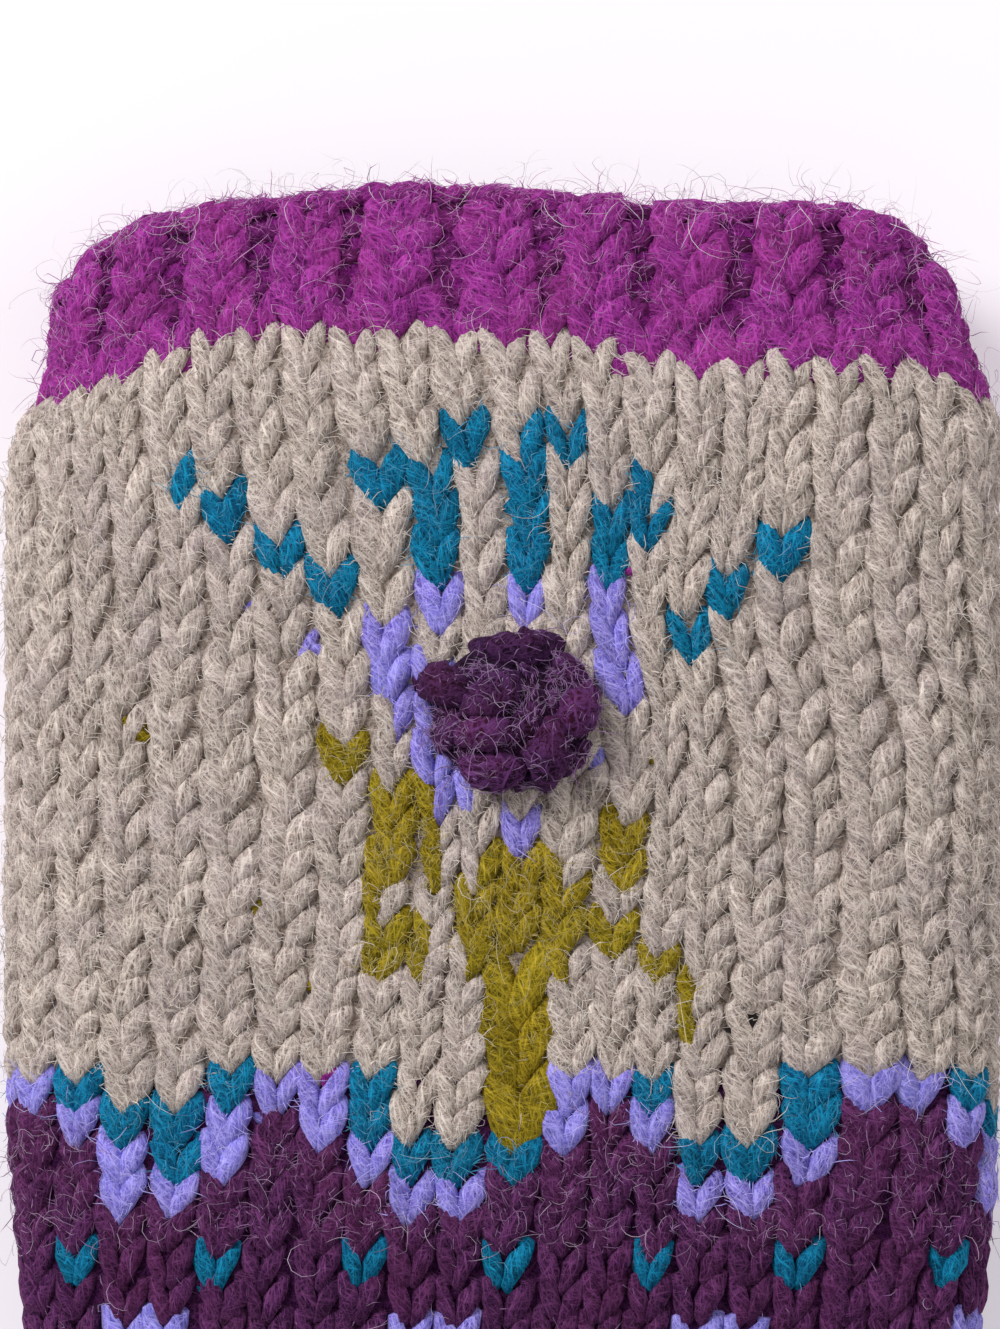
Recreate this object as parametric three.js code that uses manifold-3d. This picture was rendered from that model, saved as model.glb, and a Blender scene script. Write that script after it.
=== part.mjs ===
// A knitted fingerless mitten that lies flat with its palm down: a ribbed finger edge, a hand
// tube with a thumb opening, a raised flower bobble, a colourwork band and a ribbed wrist.
// Millimetres, +Z up. The fingers point to +Y, the back of the hand faces up, and the origin is on
// the surface that the mitten lies on, under the middle of its outline.

import * as THREE from "three";
import { mergeVertices } from "three/addons/utils/BufferGeometryUtils.js";
import Module from "manifold-3d";

// Driving dimensions. A row's place is its distance from the finger edge, down the middle of the back.
const LENGTH = 188;
const RIB_END = 15.4;
const BAND_START = 88.4;
const BAND_END = 141;
const WALL = 3.2;
const SEAM_GAP = 0.3;
const STITCHES_ROUND = 44;
const RIB_DEPTH = 0.9;
const EDGE_SCALLOP = 0.5;
const REST_SINK = 0.6;
const SQUARENESS = 3;

// The flattened tube at some rows. drop is how far a row's ends at the side folds lie below its
// middle, and lean how far the palm side is shifted to +X from the back of the hand.
const SECTIONS = [
  { at: 0, halfWidth: 45.6, height: 16.8, drop: 11.5, lean: 0.4 },
  { at: 4, halfWidth: 46.3, height: 18.2, drop: 10, lean: 0.8 },
  { at: 15.4, halfWidth: 47.8, height: 19, drop: 6, lean: 2.6 },
  { at: 20, halfWidth: 49.5, height: 21, drop: 5.4, lean: 1.2 },
  { at: 27, halfWidth: 49.9, height: 21.8, drop: 4.6, lean: 0 },
  { at: 50, halfWidth: 50, height: 22.4, drop: 2.8, lean: 0 },
  { at: 88, halfWidth: 49.8, height: 22, drop: 0.6, lean: 0 },
  { at: 112, halfWidth: 48.4, height: 21.4, drop: 0, lean: 0 },
  { at: 136, halfWidth: 44.6, height: 20, drop: 0, lean: 0 },
  { at: 146, halfWidth: 41.8, height: 18.8, drop: -0.8, lean: 0 },
  { at: 182, halfWidth: 41.6, height: 18.2, drop: -5, lean: 0 },
  { at: 188, halfWidth: 40.8, height: 16.8, drop: -7, lean: 0 },
];
const LEFT_CURVE = 3;
const RIGHT_CURVE = 4;
const PALM_CURVE = 3;
const PALM_DROP_SHARE = 0.25;

// Soft swells (up) and dents (down) of the back of the hand where the wool lies unevenly.
const SWELLS = [
  { x: 1, at: 53, reach: 17, rise: 0.9 },
  { x: -31, at: 50, reach: 13, rise: -0.8 },
  { x: 31, at: 62, reach: 14, rise: -0.6 },
  { x: -22, at: 82, reach: 11, rise: -0.7 },
  { x: 20, at: 30, reach: 11, rise: 0.5 },
  { x: 6, at: 92, reach: 12, rise: 0.6 },
  { x: -14, at: 122, reach: 15, rise: -0.8 },
];

// The thumb opening in the palm side, and the bound-off edge round it.
const THUMB = { x: -24, at: 57, width: 17, length: 31, edge: 3.8, cornerSteps: 8 };
const THUMB_CUT_BOTTOM = -4;
const THUMB_CUT_HEIGHT = 12;

// The bobble is a dome with lumps. A lump's turn is its compass direction, its tilt how far it is
// from the top, and its rise the share of the radius that it adds to what lies between the lumps.
const BOBBLE = { x: 0.9, at: 53.3, halfWidth: 8.7, halfLength: 8.1, height: 5.6 };
const BOBBLE_LUMPS = [
  { turn: 20, tilt: 62, rise: 0.14 },
  { turn: 95, tilt: 60, rise: 0.16 },
  { turn: 165, tilt: 66, rise: 0.15 },
  { turn: 235, tilt: 64, rise: 0.12 },
  { turn: 305, tilt: 62, rise: 0.16 },
  { turn: 60, tilt: 12, rise: 0.1 },
];
const LUMP_REACH = 0.42;
const BETWEEN_LUMPS = 0.92;
const BOBBLE_SIDES = 24;
const BOBBLE_RINGS = 12;

// How finely the walls are divided: points round the tube, steps along the outside and inside, and
// the shares of a half turn at which a rolled end has a point.
const PLAIN_SIDES = 88;
const RIBBED_SIDES = 132;
const ROLL_SHARES = [0.25, 0.5, 0.75];
const SAME_PLACE = 1e-4;
const WALLS = {
  finger_rib: { start: 0, end: RIB_END - SEAM_GAP / 2, sides: RIBBED_SIDES, outer: 4, inner: 1, ribbed: true },
  hand_body: {
    start: RIB_END + SEAM_GAP / 2,
    end: BAND_START - SEAM_GAP / 2,
    sides: PLAIN_SIDES,
    outer: 11,
    inner: 5,
  },
  pattern_band: {
    start: BAND_START + SEAM_GAP / 2,
    end: BAND_END - SEAM_GAP / 2,
    sides: PLAIN_SIDES,
    outer: 5,
    inner: 3,
  },
  wrist_rib: {
    start: BAND_END + SEAM_GAP / 2,
    end: LENGTH,
    sides: RIBBED_SIDES,
    outer: 4,
    inner: 2,
    ribbed: true,
  },
};

const WOOL = {
  magenta: 0x8e2a86,
  taupe: 0xb1a497,
  plum: 0x3f1548,
  teal: 0x0f7a9c,
};

// The value of one column of SECTIONS at a row, on a smooth curve through the table.
function sectionValue(name, at) {
  const last = SECTIONS.length - 1;
  const place = Math.min(Math.max(at, 0), LENGTH);
  let i = 0;
  while (i < last - 1 && SECTIONS[i + 1].at <= place) {
    i += 1;
  }
  const slope = (k) => {
    const before = SECTIONS[Math.max(k - 1, 0)];
    const after = SECTIONS[Math.min(k + 1, last)];
    return (after[name] - before[name]) / (after.at - before.at);
  };
  const span = SECTIONS[i + 1].at - SECTIONS[i].at;
  const t = (place - SECTIONS[i].at) / span;
  const rise = t * t * (3 - 2 * t);
  const ease = t * (1 - t) * (1 - t) * slope(i) - t * t * (1 - t) * slope(i + 1);
  return SECTIONS[i][name] * (1 - rise) + SECTIONS[i + 1][name] * rise + span * ease;
}

// The angle round the flattened section at a share of the way round it, from the middle of the back
// of the hand (0) over the right fold (a quarter) to the middle of the palm (a half).
const ANGLE_STEPS = 720;
const MEAN_SHAPE = { halfWidth: 48, halfHeight: 10.5 };
const arcLengths = [0];
for (let k = 1; k <= ANGLE_STEPS; k += 1) {
  const from = flattened(((k - 1) / ANGLE_STEPS) * Math.PI * 2, MEAN_SHAPE.halfWidth, MEAN_SHAPE.halfHeight);
  const to = flattened((k / ANGLE_STEPS) * Math.PI * 2, MEAN_SHAPE.halfWidth, MEAN_SHAPE.halfHeight);
  arcLengths.push(arcLengths[k - 1] + Math.hypot(to.x - from.x, to.z - from.z));
}

function angleAt(turn) {
  const wanted = (turn - Math.floor(turn)) * arcLengths[ANGLE_STEPS];
  let low = 0;
  let high = ANGLE_STEPS;
  while (high - low > 1) {
    const middle = (low + high) >> 1;
    if (arcLengths[middle] <= wanted) {
      low = middle;
    } else {
      high = middle;
    }
  }
  const within = (wanted - arcLengths[low]) / (arcLengths[high] - arcLengths[low]);
  return ((low + within) / ANGLE_STEPS) * Math.PI * 2;
}

// A point of a rounded oblong, its angle counted from the top towards +X.
function flattened(angle, halfWidth, halfHeight) {
  const round = (value) => Math.sign(value) * Math.abs(value) ** (2 / SQUARENESS);
  return { x: halfWidth * round(Math.sin(angle)), z: halfHeight * round(Math.cos(angle)) };
}

// How far a row lies below its middle at a share of the way round: it curves down to the side folds.
function rowDrop(at, turn) {
  const around = turn - Math.round(turn);
  const side = Math.abs(around) * 4;
  const drop = sectionValue("drop", at);
  const rounded = (share) => 0.5 - 0.5 * Math.cos(Math.PI * share);
  if (side <= 1) {
    return drop * rounded(side ** (around < 0 ? LEFT_CURVE : RIGHT_CURVE));
  }
  return drop * (PALM_DROP_SHARE + (1 - PALM_DROP_SHARE) * rounded((2 - side) ** PALM_CURVE));
}

// The rise of the swells and dents at a place on the back of the hand.
function swellAt(x, at) {
  return SWELLS.reduce(
    (sum, s) => sum + s.rise * Math.exp(-((x - s.x) ** 2 + (at - s.at) ** 2) / s.reach ** 2),
    0,
  );
}

// A point of the fabric: a row, a share of the way round, and a depth in from the outer face.
function fabricPoint(at, turn, depth) {
  const height = sectionValue("height", at);
  const angle = angleAt(turn);
  const p = flattened(angle, sectionValue("halfWidth", at) - depth, height / 2 - depth);
  const lying = height / 2 - REST_SINK + p.z;
  const upward = Math.max(Math.cos(angle), 0);
  const z = Math.max(lying + swellAt(p.x, at) * upward, 0);
  const x = p.x + sectionValue("lean", at) * (0.5 - p.z / height);
  return new THREE.Vector3(x, LENGTH / 2 - at - rowDrop(at, turn), z);
}

// 0 on the crown of a rib and 1 in the furrow beside it: a knit and a purl stitch make one rib.
function furrow(turn) {
  return 0.5 - 0.5 * Math.cos(turn * Math.PI * STITCHES_ROUND);
}

// The outline of a wall's cut along its length, as rows and depths, once round from the outer face
// over the first edge to the inner face. An end of the mitten is rolled, and a seam is square.
function wallProfile({ start, end, outer, inner }) {
  const outline = [];
  const roll = WALL / 2;
  const rolledStart = start === 0 ? roll : 0;
  const rolledEnd = end === LENGTH ? roll : 0;
  const along = (from, to, steps, depth) => {
    for (let k = 0; k <= steps; k += 1) {
      outline.push({ at: from + ((to - from) * k) / steps, depth });
    }
  };
  const rolledEdge = (at, inward, fromOutside) => {
    for (const share of ROLL_SHARES) {
      const swing = Math.PI * share;
      const depth = roll * (1 - Math.cos(swing) * (fromOutside ? 1 : -1));
      outline.push({ at: at + inward * roll * (1 - Math.sin(swing)), depth, edge: Math.sin(swing) * inward });
    }
  };
  along(end - rolledEnd, start + rolledStart, outer, 0);
  if (rolledStart) {
    rolledEdge(start, 1, true);
  }
  along(start + rolledStart, end - rolledEnd, inner, WALL);
  if (rolledEnd) {
    rolledEdge(end, -1, false);
  }
  return outline;
}

// A closed wall: its profile taken once round the tube.
function wallGeometry(spec) {
  const outline = wallProfile(spec);
  const positions = [];
  for (let j = 0; j < spec.sides; j += 1) {
    const turn = j / spec.sides;
    for (const { at, depth, edge = 0 } of outline) {
      const groove = spec.ribbed ? furrow(turn) : 0;
      const outside = 1 - depth / WALL;
      const p = fabricPoint(at + edge * EDGE_SCALLOP * groove, turn, depth + RIB_DEPTH * groove * outside);
      positions.push(p.x, p.y, p.z);
    }
  }
  const count = outline.length;
  const indices = [];
  for (let j = 0; j < spec.sides; j += 1) {
    for (let k = 0; k < count; k += 1) {
      const a = j * count + k;
      const b = j * count + ((k + 1) % count);
      const c = ((j + 1) % spec.sides) * count + k;
      const d = ((j + 1) % spec.sides) * count + ((k + 1) % count);
      indices.push(a, d, b, a, c, d);
    }
  }
  return new THREE.BufferGeometry()
    .setAttribute("position", new THREE.Float32BufferAttribute(positions, 3))
    .setIndex(indices);
}

// An upright block with a long rounded outline, as the thumb opening has, grown by a margin.
function thumbBlock(margin) {
  const radius = THUMB.width / 2 + margin;
  const straight = (THUMB.length - THUMB.width) / 2;
  const outline = new THREE.Shape();
  outline.absarc(0, straight, radius, 0, Math.PI, false);
  outline.absarc(0, -straight, radius, Math.PI, Math.PI * 2, false);
  const block = new THREE.ExtrudeGeometry(outline, {
    depth: THUMB_CUT_HEIGHT,
    bevelEnabled: false,
    curveSegments: THUMB.cornerSteps,
  });
  return block.translate(THUMB.x, LENGTH / 2 - THUMB.at, THUMB_CUT_BOTTOM);
}

// A dome with lumps and a flat underside, seated on the back of the hand.
function bobbleGeometry() {
  const lumps = BOBBLE_LUMPS.map(({ turn, tilt, rise }) => ({
    way: new THREE.Vector3().setFromSphericalCoords(
      1,
      THREE.MathUtils.degToRad(tilt),
      THREE.MathUtils.degToRad(turn),
    ),
    rise,
  }));
  const ball = new THREE.SphereGeometry(1, BOBBLE_SIDES, BOBBLE_RINGS);
  const spots = ball.getAttribute("position");
  const p = new THREE.Vector3();
  for (let k = 0; k < spots.count; k += 1) {
    p.fromBufferAttribute(spots, k);
    const grown = lumps.reduce(
      (sum, { way, rise }) => sum + rise * Math.exp(-p.distanceToSquared(way) / LUMP_REACH ** 2),
      BETWEEN_LUMPS,
    );
    const upward = Math.max(p.y, 0) * grown * BOBBLE.height;
    spots.setXYZ(k, p.x * grown * BOBBLE.halfWidth, -p.z * grown * BOBBLE.halfLength, upward);
  }
  let seat = 0;
  const reach = BOBBLE.halfWidth;
  for (const dx of [-reach, 0, reach]) {
    for (const dAt of [-reach, 0, reach]) {
      const turn = (BOBBLE.x + dx) / arcLengths[ANGLE_STEPS];
      seat = Math.max(seat, fabricPoint(BOBBLE.at + dAt, turn, 0).z);
    }
  }
  return ball.translate(BOBBLE.x, LENGTH / 2 - BOBBLE.at, seat + SEAM_GAP);
}

const wasm = await Module();
wasm.setup();

function solidOf(geometry) {
  const bare = geometry.clone();
  bare.deleteAttribute("normal");
  bare.deleteAttribute("uv");
  const merged = mergeVertices(bare, SAME_PLACE);
  const mesh = new wasm.Mesh({
    numProp: 3,
    vertProperties: merged.getAttribute("position").array,
    triVerts: new Uint32Array(merged.index.array),
  });
  return new wasm.Manifold(mesh);
}

function geometryOf(solid) {
  const mesh = solid.getMesh();
  return new THREE.BufferGeometry()
    .setAttribute("position", new THREE.BufferAttribute(new Float32Array(mesh.vertProperties), 3))
    .setIndex(new THREE.BufferAttribute(new Uint32Array(mesh.triVerts), 1));
}

function woolPiece(name, geometry, colour) {
  geometry.computeVertexNormals();
  const wool = new THREE.MeshStandardMaterial({ color: colour, roughness: 0.95, metalness: 0 });
  const mesh = new THREE.Mesh(geometry, wool);
  mesh.name = name;
  return mesh;
}

const handWall = solidOf(wallGeometry(WALLS.hand_body));
const thumbHole = solidOf(thumbBlock(0));
const edgeOutside = solidOf(thumbBlock(THUMB.edge));
const edgeSeat = solidOf(thumbBlock(THUMB.edge + SEAM_GAP));

const mitten = new THREE.Group();
mitten.add(
  woolPiece("finger_rib", wallGeometry(WALLS.finger_rib), WOOL.magenta),
  woolPiece("hand_body", geometryOf(handWall.subtract(edgeSeat)), WOOL.taupe),
  woolPiece("thumb_edge", geometryOf(handWall.intersect(edgeOutside).subtract(thumbHole)), WOOL.taupe),
  woolPiece("flower_bobble", bobbleGeometry(), WOOL.plum),
  woolPiece("pattern_band", wallGeometry(WALLS.pattern_band), WOOL.teal),
  woolPiece("wrist_rib", wallGeometry(WALLS.wrist_rib), WOOL.magenta),
);

export default mitten;
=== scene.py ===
"""A hand-knitted wool fingerless mitten, knitted stitch by stitch round its packed walls.

The back of the hand faces up and the fingers point to +Y. Sizes below are in millimetres, as in the
walls' own source, and become metres when a mesh is made.
"""

import math

import bpy
import numpy as np
from bpy.props import FloatProperty, FloatVectorProperty, PointerProperty
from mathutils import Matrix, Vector


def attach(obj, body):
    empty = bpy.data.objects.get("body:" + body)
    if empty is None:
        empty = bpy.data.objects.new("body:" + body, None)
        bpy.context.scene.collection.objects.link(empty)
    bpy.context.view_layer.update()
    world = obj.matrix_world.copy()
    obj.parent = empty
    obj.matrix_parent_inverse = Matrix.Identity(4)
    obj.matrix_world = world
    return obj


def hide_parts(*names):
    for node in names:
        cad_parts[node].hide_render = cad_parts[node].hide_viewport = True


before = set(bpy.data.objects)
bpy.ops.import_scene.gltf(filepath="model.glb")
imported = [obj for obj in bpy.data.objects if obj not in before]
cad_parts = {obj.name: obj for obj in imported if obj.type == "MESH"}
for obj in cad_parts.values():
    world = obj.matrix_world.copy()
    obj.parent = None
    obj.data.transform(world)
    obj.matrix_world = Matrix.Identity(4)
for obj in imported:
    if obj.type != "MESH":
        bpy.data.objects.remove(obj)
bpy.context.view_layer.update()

bl_info = {
    "name": "Fingerless Mitten",
    "version": (1, 0, 0),
    "blender": (4, 5, 0),
    "location": "View3D > Sidebar > Mitten",
    "description": "Knits a wool fingerless mitten round its packed walls, stitch by stitch",
    "category": "Add Mesh",
}

MM = 0.001
SEED = 46

# The walls, as their own source has them. A row's place is its distance from the finger edge.
LENGTH = 188.0
RIB_END = 15.4
BAND_START = 88.4
BAND_END = 141.0
WALL = 3.2
# Only the palm lies lower than this.
PALM_BELOW = WALL * 2
STITCHES_ROUND = 44
REST_SINK = 0.6
SQUARENESS = 3
SECTIONS = {
    "at": (0, 4, 15.4, 20, 27, 50, 88, 112, 136, 146, 182, 188),
    "half_width": (45.6, 46.3, 47.8, 49.5, 49.9, 50, 49.8, 48.4, 44.6, 41.8, 41.6, 40.8),
    "height": (16.8, 18.2, 19, 21, 21.8, 22.4, 22, 21.4, 20, 18.8, 18.2, 16.8),
    "drop": (11.5, 10, 6, 5.4, 4.6, 2.8, 0.6, 0, 0, -0.8, -5, -7),
    "lean": (0.4, 0.8, 2.6, 1.2, 0, 0, 0, 0, 0, 0, 0, 0),
}
LEFT_CURVE = 3
RIGHT_CURVE = 4
PALM_CURVE = 3
PALM_DROP_SHARE = 0.25
SWELLS = (
    # x, at, reach, rise
    (1, 53, 17, 0.9),
    (-31, 50, 13, -0.8),
    (31, 62, 14, -0.6),
    (-22, 82, 11, -0.7),
    (20, 30, 11, 0.5),
    (6, 92, 12, 0.6),
    (-14, 122, 15, -0.8),
)
THUMB = {"x": -24, "at": 57, "width": 17, "length": 31, "edge": 3.8}
# How far the stitches and the felt keep off the hole, under its bound-off edge.
STITCHES_CLEAR = THUMB["edge"] * 0.5
FELT_CLEAR = THUMB["edge"] * 0.6
BOBBLE = {"x": 0.9, "at": 53.3, "half_width": 8.7, "half_length": 8.1, "height": 5.6}

# Where the wales of the back run, as x at six rows. Those between lie evenly, and below the last
# row all of them even out.
WALE_ROWS = (11.9, 28.9, 42.9, 54.0, 71.9, 90.9)
WALES = (
    # wale, x in the rib, over the knuckles, at the petals, at the cup, at the leaves, at the band
    (-10, -43.5, -45.0, -45.3, -46.7, -46.9, -47.3),
    (-8, -37.8, -37.6, -37.0, -37.9, -38.0, -37.8),
    (-6, -28.9, -28.5, -27.1, -27.5, -27.5, -27.4),
    (-4, -20.3, -18.5, -16.7, -15.7, -16.2, -17.8),
    (-2, -11.3, -7.2, -6.4, -6.6, -6.8, -8.8),
    (-1, -5.6, -2.9, -2.4, -2.6, -3.0, -4.6),
    (0, 0.2, 2.2, 2.4, 1.7, 1.4, 1.2),
    (1, 4.5, 6.1, 6.4, 6.3, 6.0, 6.8),
    (2, 8.9, 10.3, 10.6, 13.1, 11.6, 10.8),
    (4, 18.8, 19.4, 17.6, 20.0, 20.0, 19.4),
    (6, 28.7, 27.9, 27.2, 30.2, 30.4, 30.2),
    (8, 37.7, 38.7, 39.7, 42.2, 42.5, 42.4),
)
EVEN_FROM = 118.0

# How far the rows wander off the walls' own line, by wale, towards the wrist: beside the rib, at the
# rim and at the outer petals. Each wave is fullest at its own place and fades over its reach.
ROW_WAVES = (
    {
        "at": RIB_END,
        "reach": 12.0,
        "wale": (-12, -10, -8, -6, -4, -2, 0, 2, 4, 6, 8, 10, 12),
        "shift": (0.8, 1.6, 1.6, -0.6, -1.4, -1.0, -0.4, 0.3, 2.6, 2.0, 1.4, 0.4, 0),
    },
    {
        "at": 0,
        "reach": 8.0,
        "wale": (-12, -10, -8, -7, -4, -3, -1.5, 0, 1, 3, 4.6, 6, 7, 8.6, 10, 12),
        "shift": (-0.6, -1.9, -1.3, 0.8, 1.2, 0.7, -0.3, 0.3, 0.6, 1.0, 1.3, 1.0, 0.8, -1.0, -0.8, -0.6),
    },
    {
        "at": 39.0,
        "reach": 9.0,
        "wale": (-12, -8, -4, -2, 3, 4, 6, 9),
        "shift": (0, -1.2, -1.6, 0, 0, -1.5, -1.5, 0),
    },
)

# The bound-off rim: how many links lie over it for each stitch, and where each layer starts and
# ends on its roll, as shares of a half turn from the outer face.
RIM_LINKS = 1.3
RIM_ROLLS = ((0.02, 0.36), (0.3, 0.62), (0.56, 0.9))
# A link's reach across in wales, its depth in the rim, its size and the painted shade that it lies in,
# how it swells, and how much these vary from link to link.
RIM_LINK = {"across": 0.85, "inside": 0.85, "half_breadth": 1.25, "half_body": 1.0, "shade": 0.35}
RIM_SWELL = (0.06, 0.94, 0.75)
RIM_VARIES = {"across": 0.35, "place": 0.28, "roll": 0.06, "size": 0.2, "inside": 0.16}
RIM_SIZES = (0.6, 1.5)

# The chain round the thumb opening, three links deep: under, in and over its rim.
THUMB_LAYERS = (
    # distance from the hole's edge where a link starts and ends, its height there, way that it faces
    (3.0, 1.4, 0.95, 0.95, -1),
    (1.5, 0.9, 1.1, 2.0, -0.2),
    (1.2, 2.8, 2.5, 2.5, 1),
)
THUMB_LINK = {"pitch": 4.6, "overlap": 1.5, "half_breadth": 1.2, "half_body": 0.9, "size_varies": 0.06}
THUMB_SWELL = (0.1, 0.9, 0.6)

# The runs of rows. The rows of a rib are knit one, purl one.
RUNS = {
    "finger_rib": {"start": 0.9, "end": RIB_END, "rows": 4},
    "hand": {"start": RIB_END, "end": BAND_START, "rows": 20},
    "band": {"start": BAND_START, "end": BAND_END, "rows": 15},
    "wrist_rib": {"start": BAND_END, "end": 186.5, "rows": 13},
}
# The hand's rows lie closer towards the wrist: the rows that start at four places.
HAND_ROWS = ((0, 6, 13, 20), (RIB_END, 39.85, 66.45, BAND_START))

FIRST_BACK_WALE = -12
LAST_BACK_WALE = 11
LAST_FINE_ROW = 106.0

# One leg of a knit stitch, the left one, from the middle of the link to its neighbour, up through
# the stitch below, to the middle of its head. Across is in wales, up in rows, depth in from the
# outer face and body half the yarn's thickness in millimetres, breadth half its width in wales.
LEG_PATH = (
    # across, up, depth, breadth, body
    (-0.50, -0.70, 2.35, 0.17, 0.75),
    (-0.27, -0.86, 2.20, 0.17, 0.75),
    (-0.12, -0.80, 1.55, 0.16, 0.80),
    (-0.11, -0.52, 1.05, 0.20, 0.95),
    (-0.18, -0.18, 0.90, 0.236, 1.08),
    (-0.27, 0.14, 0.93, 0.238, 1.08),
    (-0.34, 0.44, 1.25, 0.212, 0.95),
    (-0.29, 0.70, 1.95, 0.19, 0.82),
    (0.00, 0.84, 2.35, 0.17, 0.75),
)
# A purl stitch shows as two bumps, its head and the link below it, in the table's same columns.
PURL_PATH = (
    (-0.60, -0.22, 2.75, 0.15, 0.80),
    (-0.34, 0.06, 2.20, 0.19, 0.95),
    (0.00, 0.20, 1.85, 0.22, 1.05),
    (0.34, 0.06, 2.20, 0.19, 0.95),
    (0.60, -0.22, 2.75, 0.15, 0.80),
)
# How far each bump lies from the stitch's middle, in rows.
PURL_APART = 0.25
# Where a path is read along its table, and the sides of its strand: on the back, and elsewhere.
FINE_STEPS = (0, 1.3, 2.2, 2.9, 3.6, 4.3, 5, 5.7, 6.6, 8)
PLAIN_STEPS = (0, 1.6, 2.7, 3.8, 4.9, 6.1, 8)
FINE_SIDES = 8
PLAIN_SIDES = 5
YARN_LUMPS = 0.035
RESTS_AT = 0.02
# How far the legs lean, in wales for each row.
LEFT_SLANT = 0.04
RIGHT_SLANT = 0.11
# Left legs, and both legs in a rib, join into ropes: they rise by a share of their depth, so far down.
ROPE_RISE = 0.5
ROPE_REACH = 0.8
# A rib's knit stitches are wide and linked near the face, and its purl ones uneven and in painted shade.
RIB_KNIT_SPREAD = 1.5
RIB_KNIT_BREADTH = 1.4
RIB_LINK_DEPTH = 1.7
PURL_UNEVEN = 2.2
PURL_SHADE = 1.7
# How near a rim the stitches come, and from how far off they are held back.
EDGE_ROOM = 1.3
EDGE_SLOWING = 3.2
# The depth of the yarn's middle at the face, and how far under that a place is fully sunk, in painted
# shade.
FACE_DEPTH = 0.9
SUNK_REACH = 1.3
# A strand's breadth follows the width of its wale, held between two. Where a stitch is pulled wide,
# the first share of its breadth stays, and the second widens with it.
WALE_WIDTHS = (3.6, 6.2)
FAT_SHARES = (0.2, 0.8)
# How unevenly it is knitted: the sizes of stitches and of their legs, a leg's place in wales across
# and in millimetres along, and its depth.
UNEVEN = {"stitch": 0.05, "leg": 0.06, "wale": 0.035, "row": 0.18, "depth": 0.12}
# The rows ripple by so many millimetres, at a rate for each wale and row. The wales sway by a share of
# a wale, each at a rate for each row.
RIPPLE = 0.3
RIPPLE_BY_WALE = 0.9
RIPPLE_BY_ROW = 1.7
SWAYS = ((0.07, 0.8), (0.05, 2.1))
# How light the strands and hairs are, about 0.5: the middle and the spread.
TINTS = {
    "stitch": (0.5, 0.24),
    "rim": (0.45, 0.3),
    "thumb_edge": (0.5, 0.16),
    "bobble": (0.3, 0.6),
    "hair": (0.45, 0.32),
}

# The stem's last stitches are pulled wide and long, each over two rows: the wale, its rows in the
# hand and the band, and how wide.
STEM_WIDE = (("hand", 0, 16, 19, 1.55), ("band", 0, 0, 1, 1.55))

# The flower, charted by wale and row of the hand. B is a whole stitch, L or R one leg of it.
FLOWER_CHART = (
    # colour, wale, first row, last row, legs
    ("teal", -7, 3, 3, "R"),
    ("teal", -6, 4, 4, "B"),
    ("teal", -5, 5, 5, "B"),
    ("teal", -4, 6, 6, "B"),
    ("teal", -3, 3, 3, "B"),
    ("teal", -2, 3, 5, "B"),
    ("teal", -1, 2, 2, "B"),
    ("teal", 0, 2, 2, "R"),
    ("teal", 0, 3, 5, "B"),
    ("teal", 1, 2, 2, "B"),
    ("teal", 2, 4, 5, "B"),
    ("teal", 3, 3, 3, "L"),
    ("teal", 3, 4, 4, "B"),
    ("teal", 6, 5, 5, "B"),
    ("teal", 5, 6, 6, "B"),
    ("teal", 4, 7, 7, "B"),
    ("lavender", -2, 6, 6, "B"),
    ("lavender", 0, 6, 6, "B"),
    ("lavender", 2, 6, 8, "B"),
    ("lavender", -3, 7, 8, "B"),
    ("lavender", -3, 9, 9, "R"),
    ("lavender", -2, 8, 10, "B"),
    ("lavender", -2, 11, 11, "R"),
    ("lavender", -1, 10, 11, "L"),
    ("lavender", 0, 12, 12, "B"),
    ("olive", -4, 10, 10, "B"),
    ("olive", -3, 11, 13, "B"),
    ("olive", -2, 11, 13, "L"),
    ("olive", -3, 14, 16, "L"),
    ("olive", -3, 15, 16, "R"),
    ("olive", -2, 15, 16, "L"),
    ("olive", -1, 13, 13, "R"),
    ("olive", -1, 14, 15, "B"),
    ("olive", -1, 16, 16, "R"),
    ("olive", 0, 13, 19, "B"),
    ("olive", 1, 13, 16, "L"),
    ("olive", 1, 14, 14, "R"),
    ("olive", 2, 12, 13, "B"),
    ("olive", 1, 15, 15, "R"),
    ("olive", 2, 15, 15, "B"),
    ("olive", 3, 16, 16, "B"),
    ("olive", 4, 17, 18, "L"),
)

# The band, row by row, over a repeat of six wales: Grey taupe, Teal, Lavender, Plum.
BAND_CHART = (
    "TLLTGG",
    "TPPLTT",
    "LPPLTT",
    "PPPPLL",
    "PPPPPP",
    "TPPTPP",
    "PPPPPP",
    "PPPPLL",
    "LPPLTT",
    "TPPLTT",
    "TLLTGG",
    "GGGGGG",
    "TTTTTT",
    "GGGGGG",
    "GGGGGG",
)
# The band's first rows on the back, which run less evenly: a letter for each wale from the first.
FIRST_BAND_WALE = -11
BAND_TOP_CHART = (
    "LLTGGTLLTGGTLLTGGTLLTG",
    "PPLTTLPLTGGTLPLGGTPPLT",
    "PPPLTLPPLTTTPPPTTLPPPL",
)
BAND_COLOURS = {"G": "taupe", "T": "teal", "L": "lavender", "P": "plum"}
STEM_IN_BAND = (("olive", 0, 0, 1, "B"),)
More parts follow.
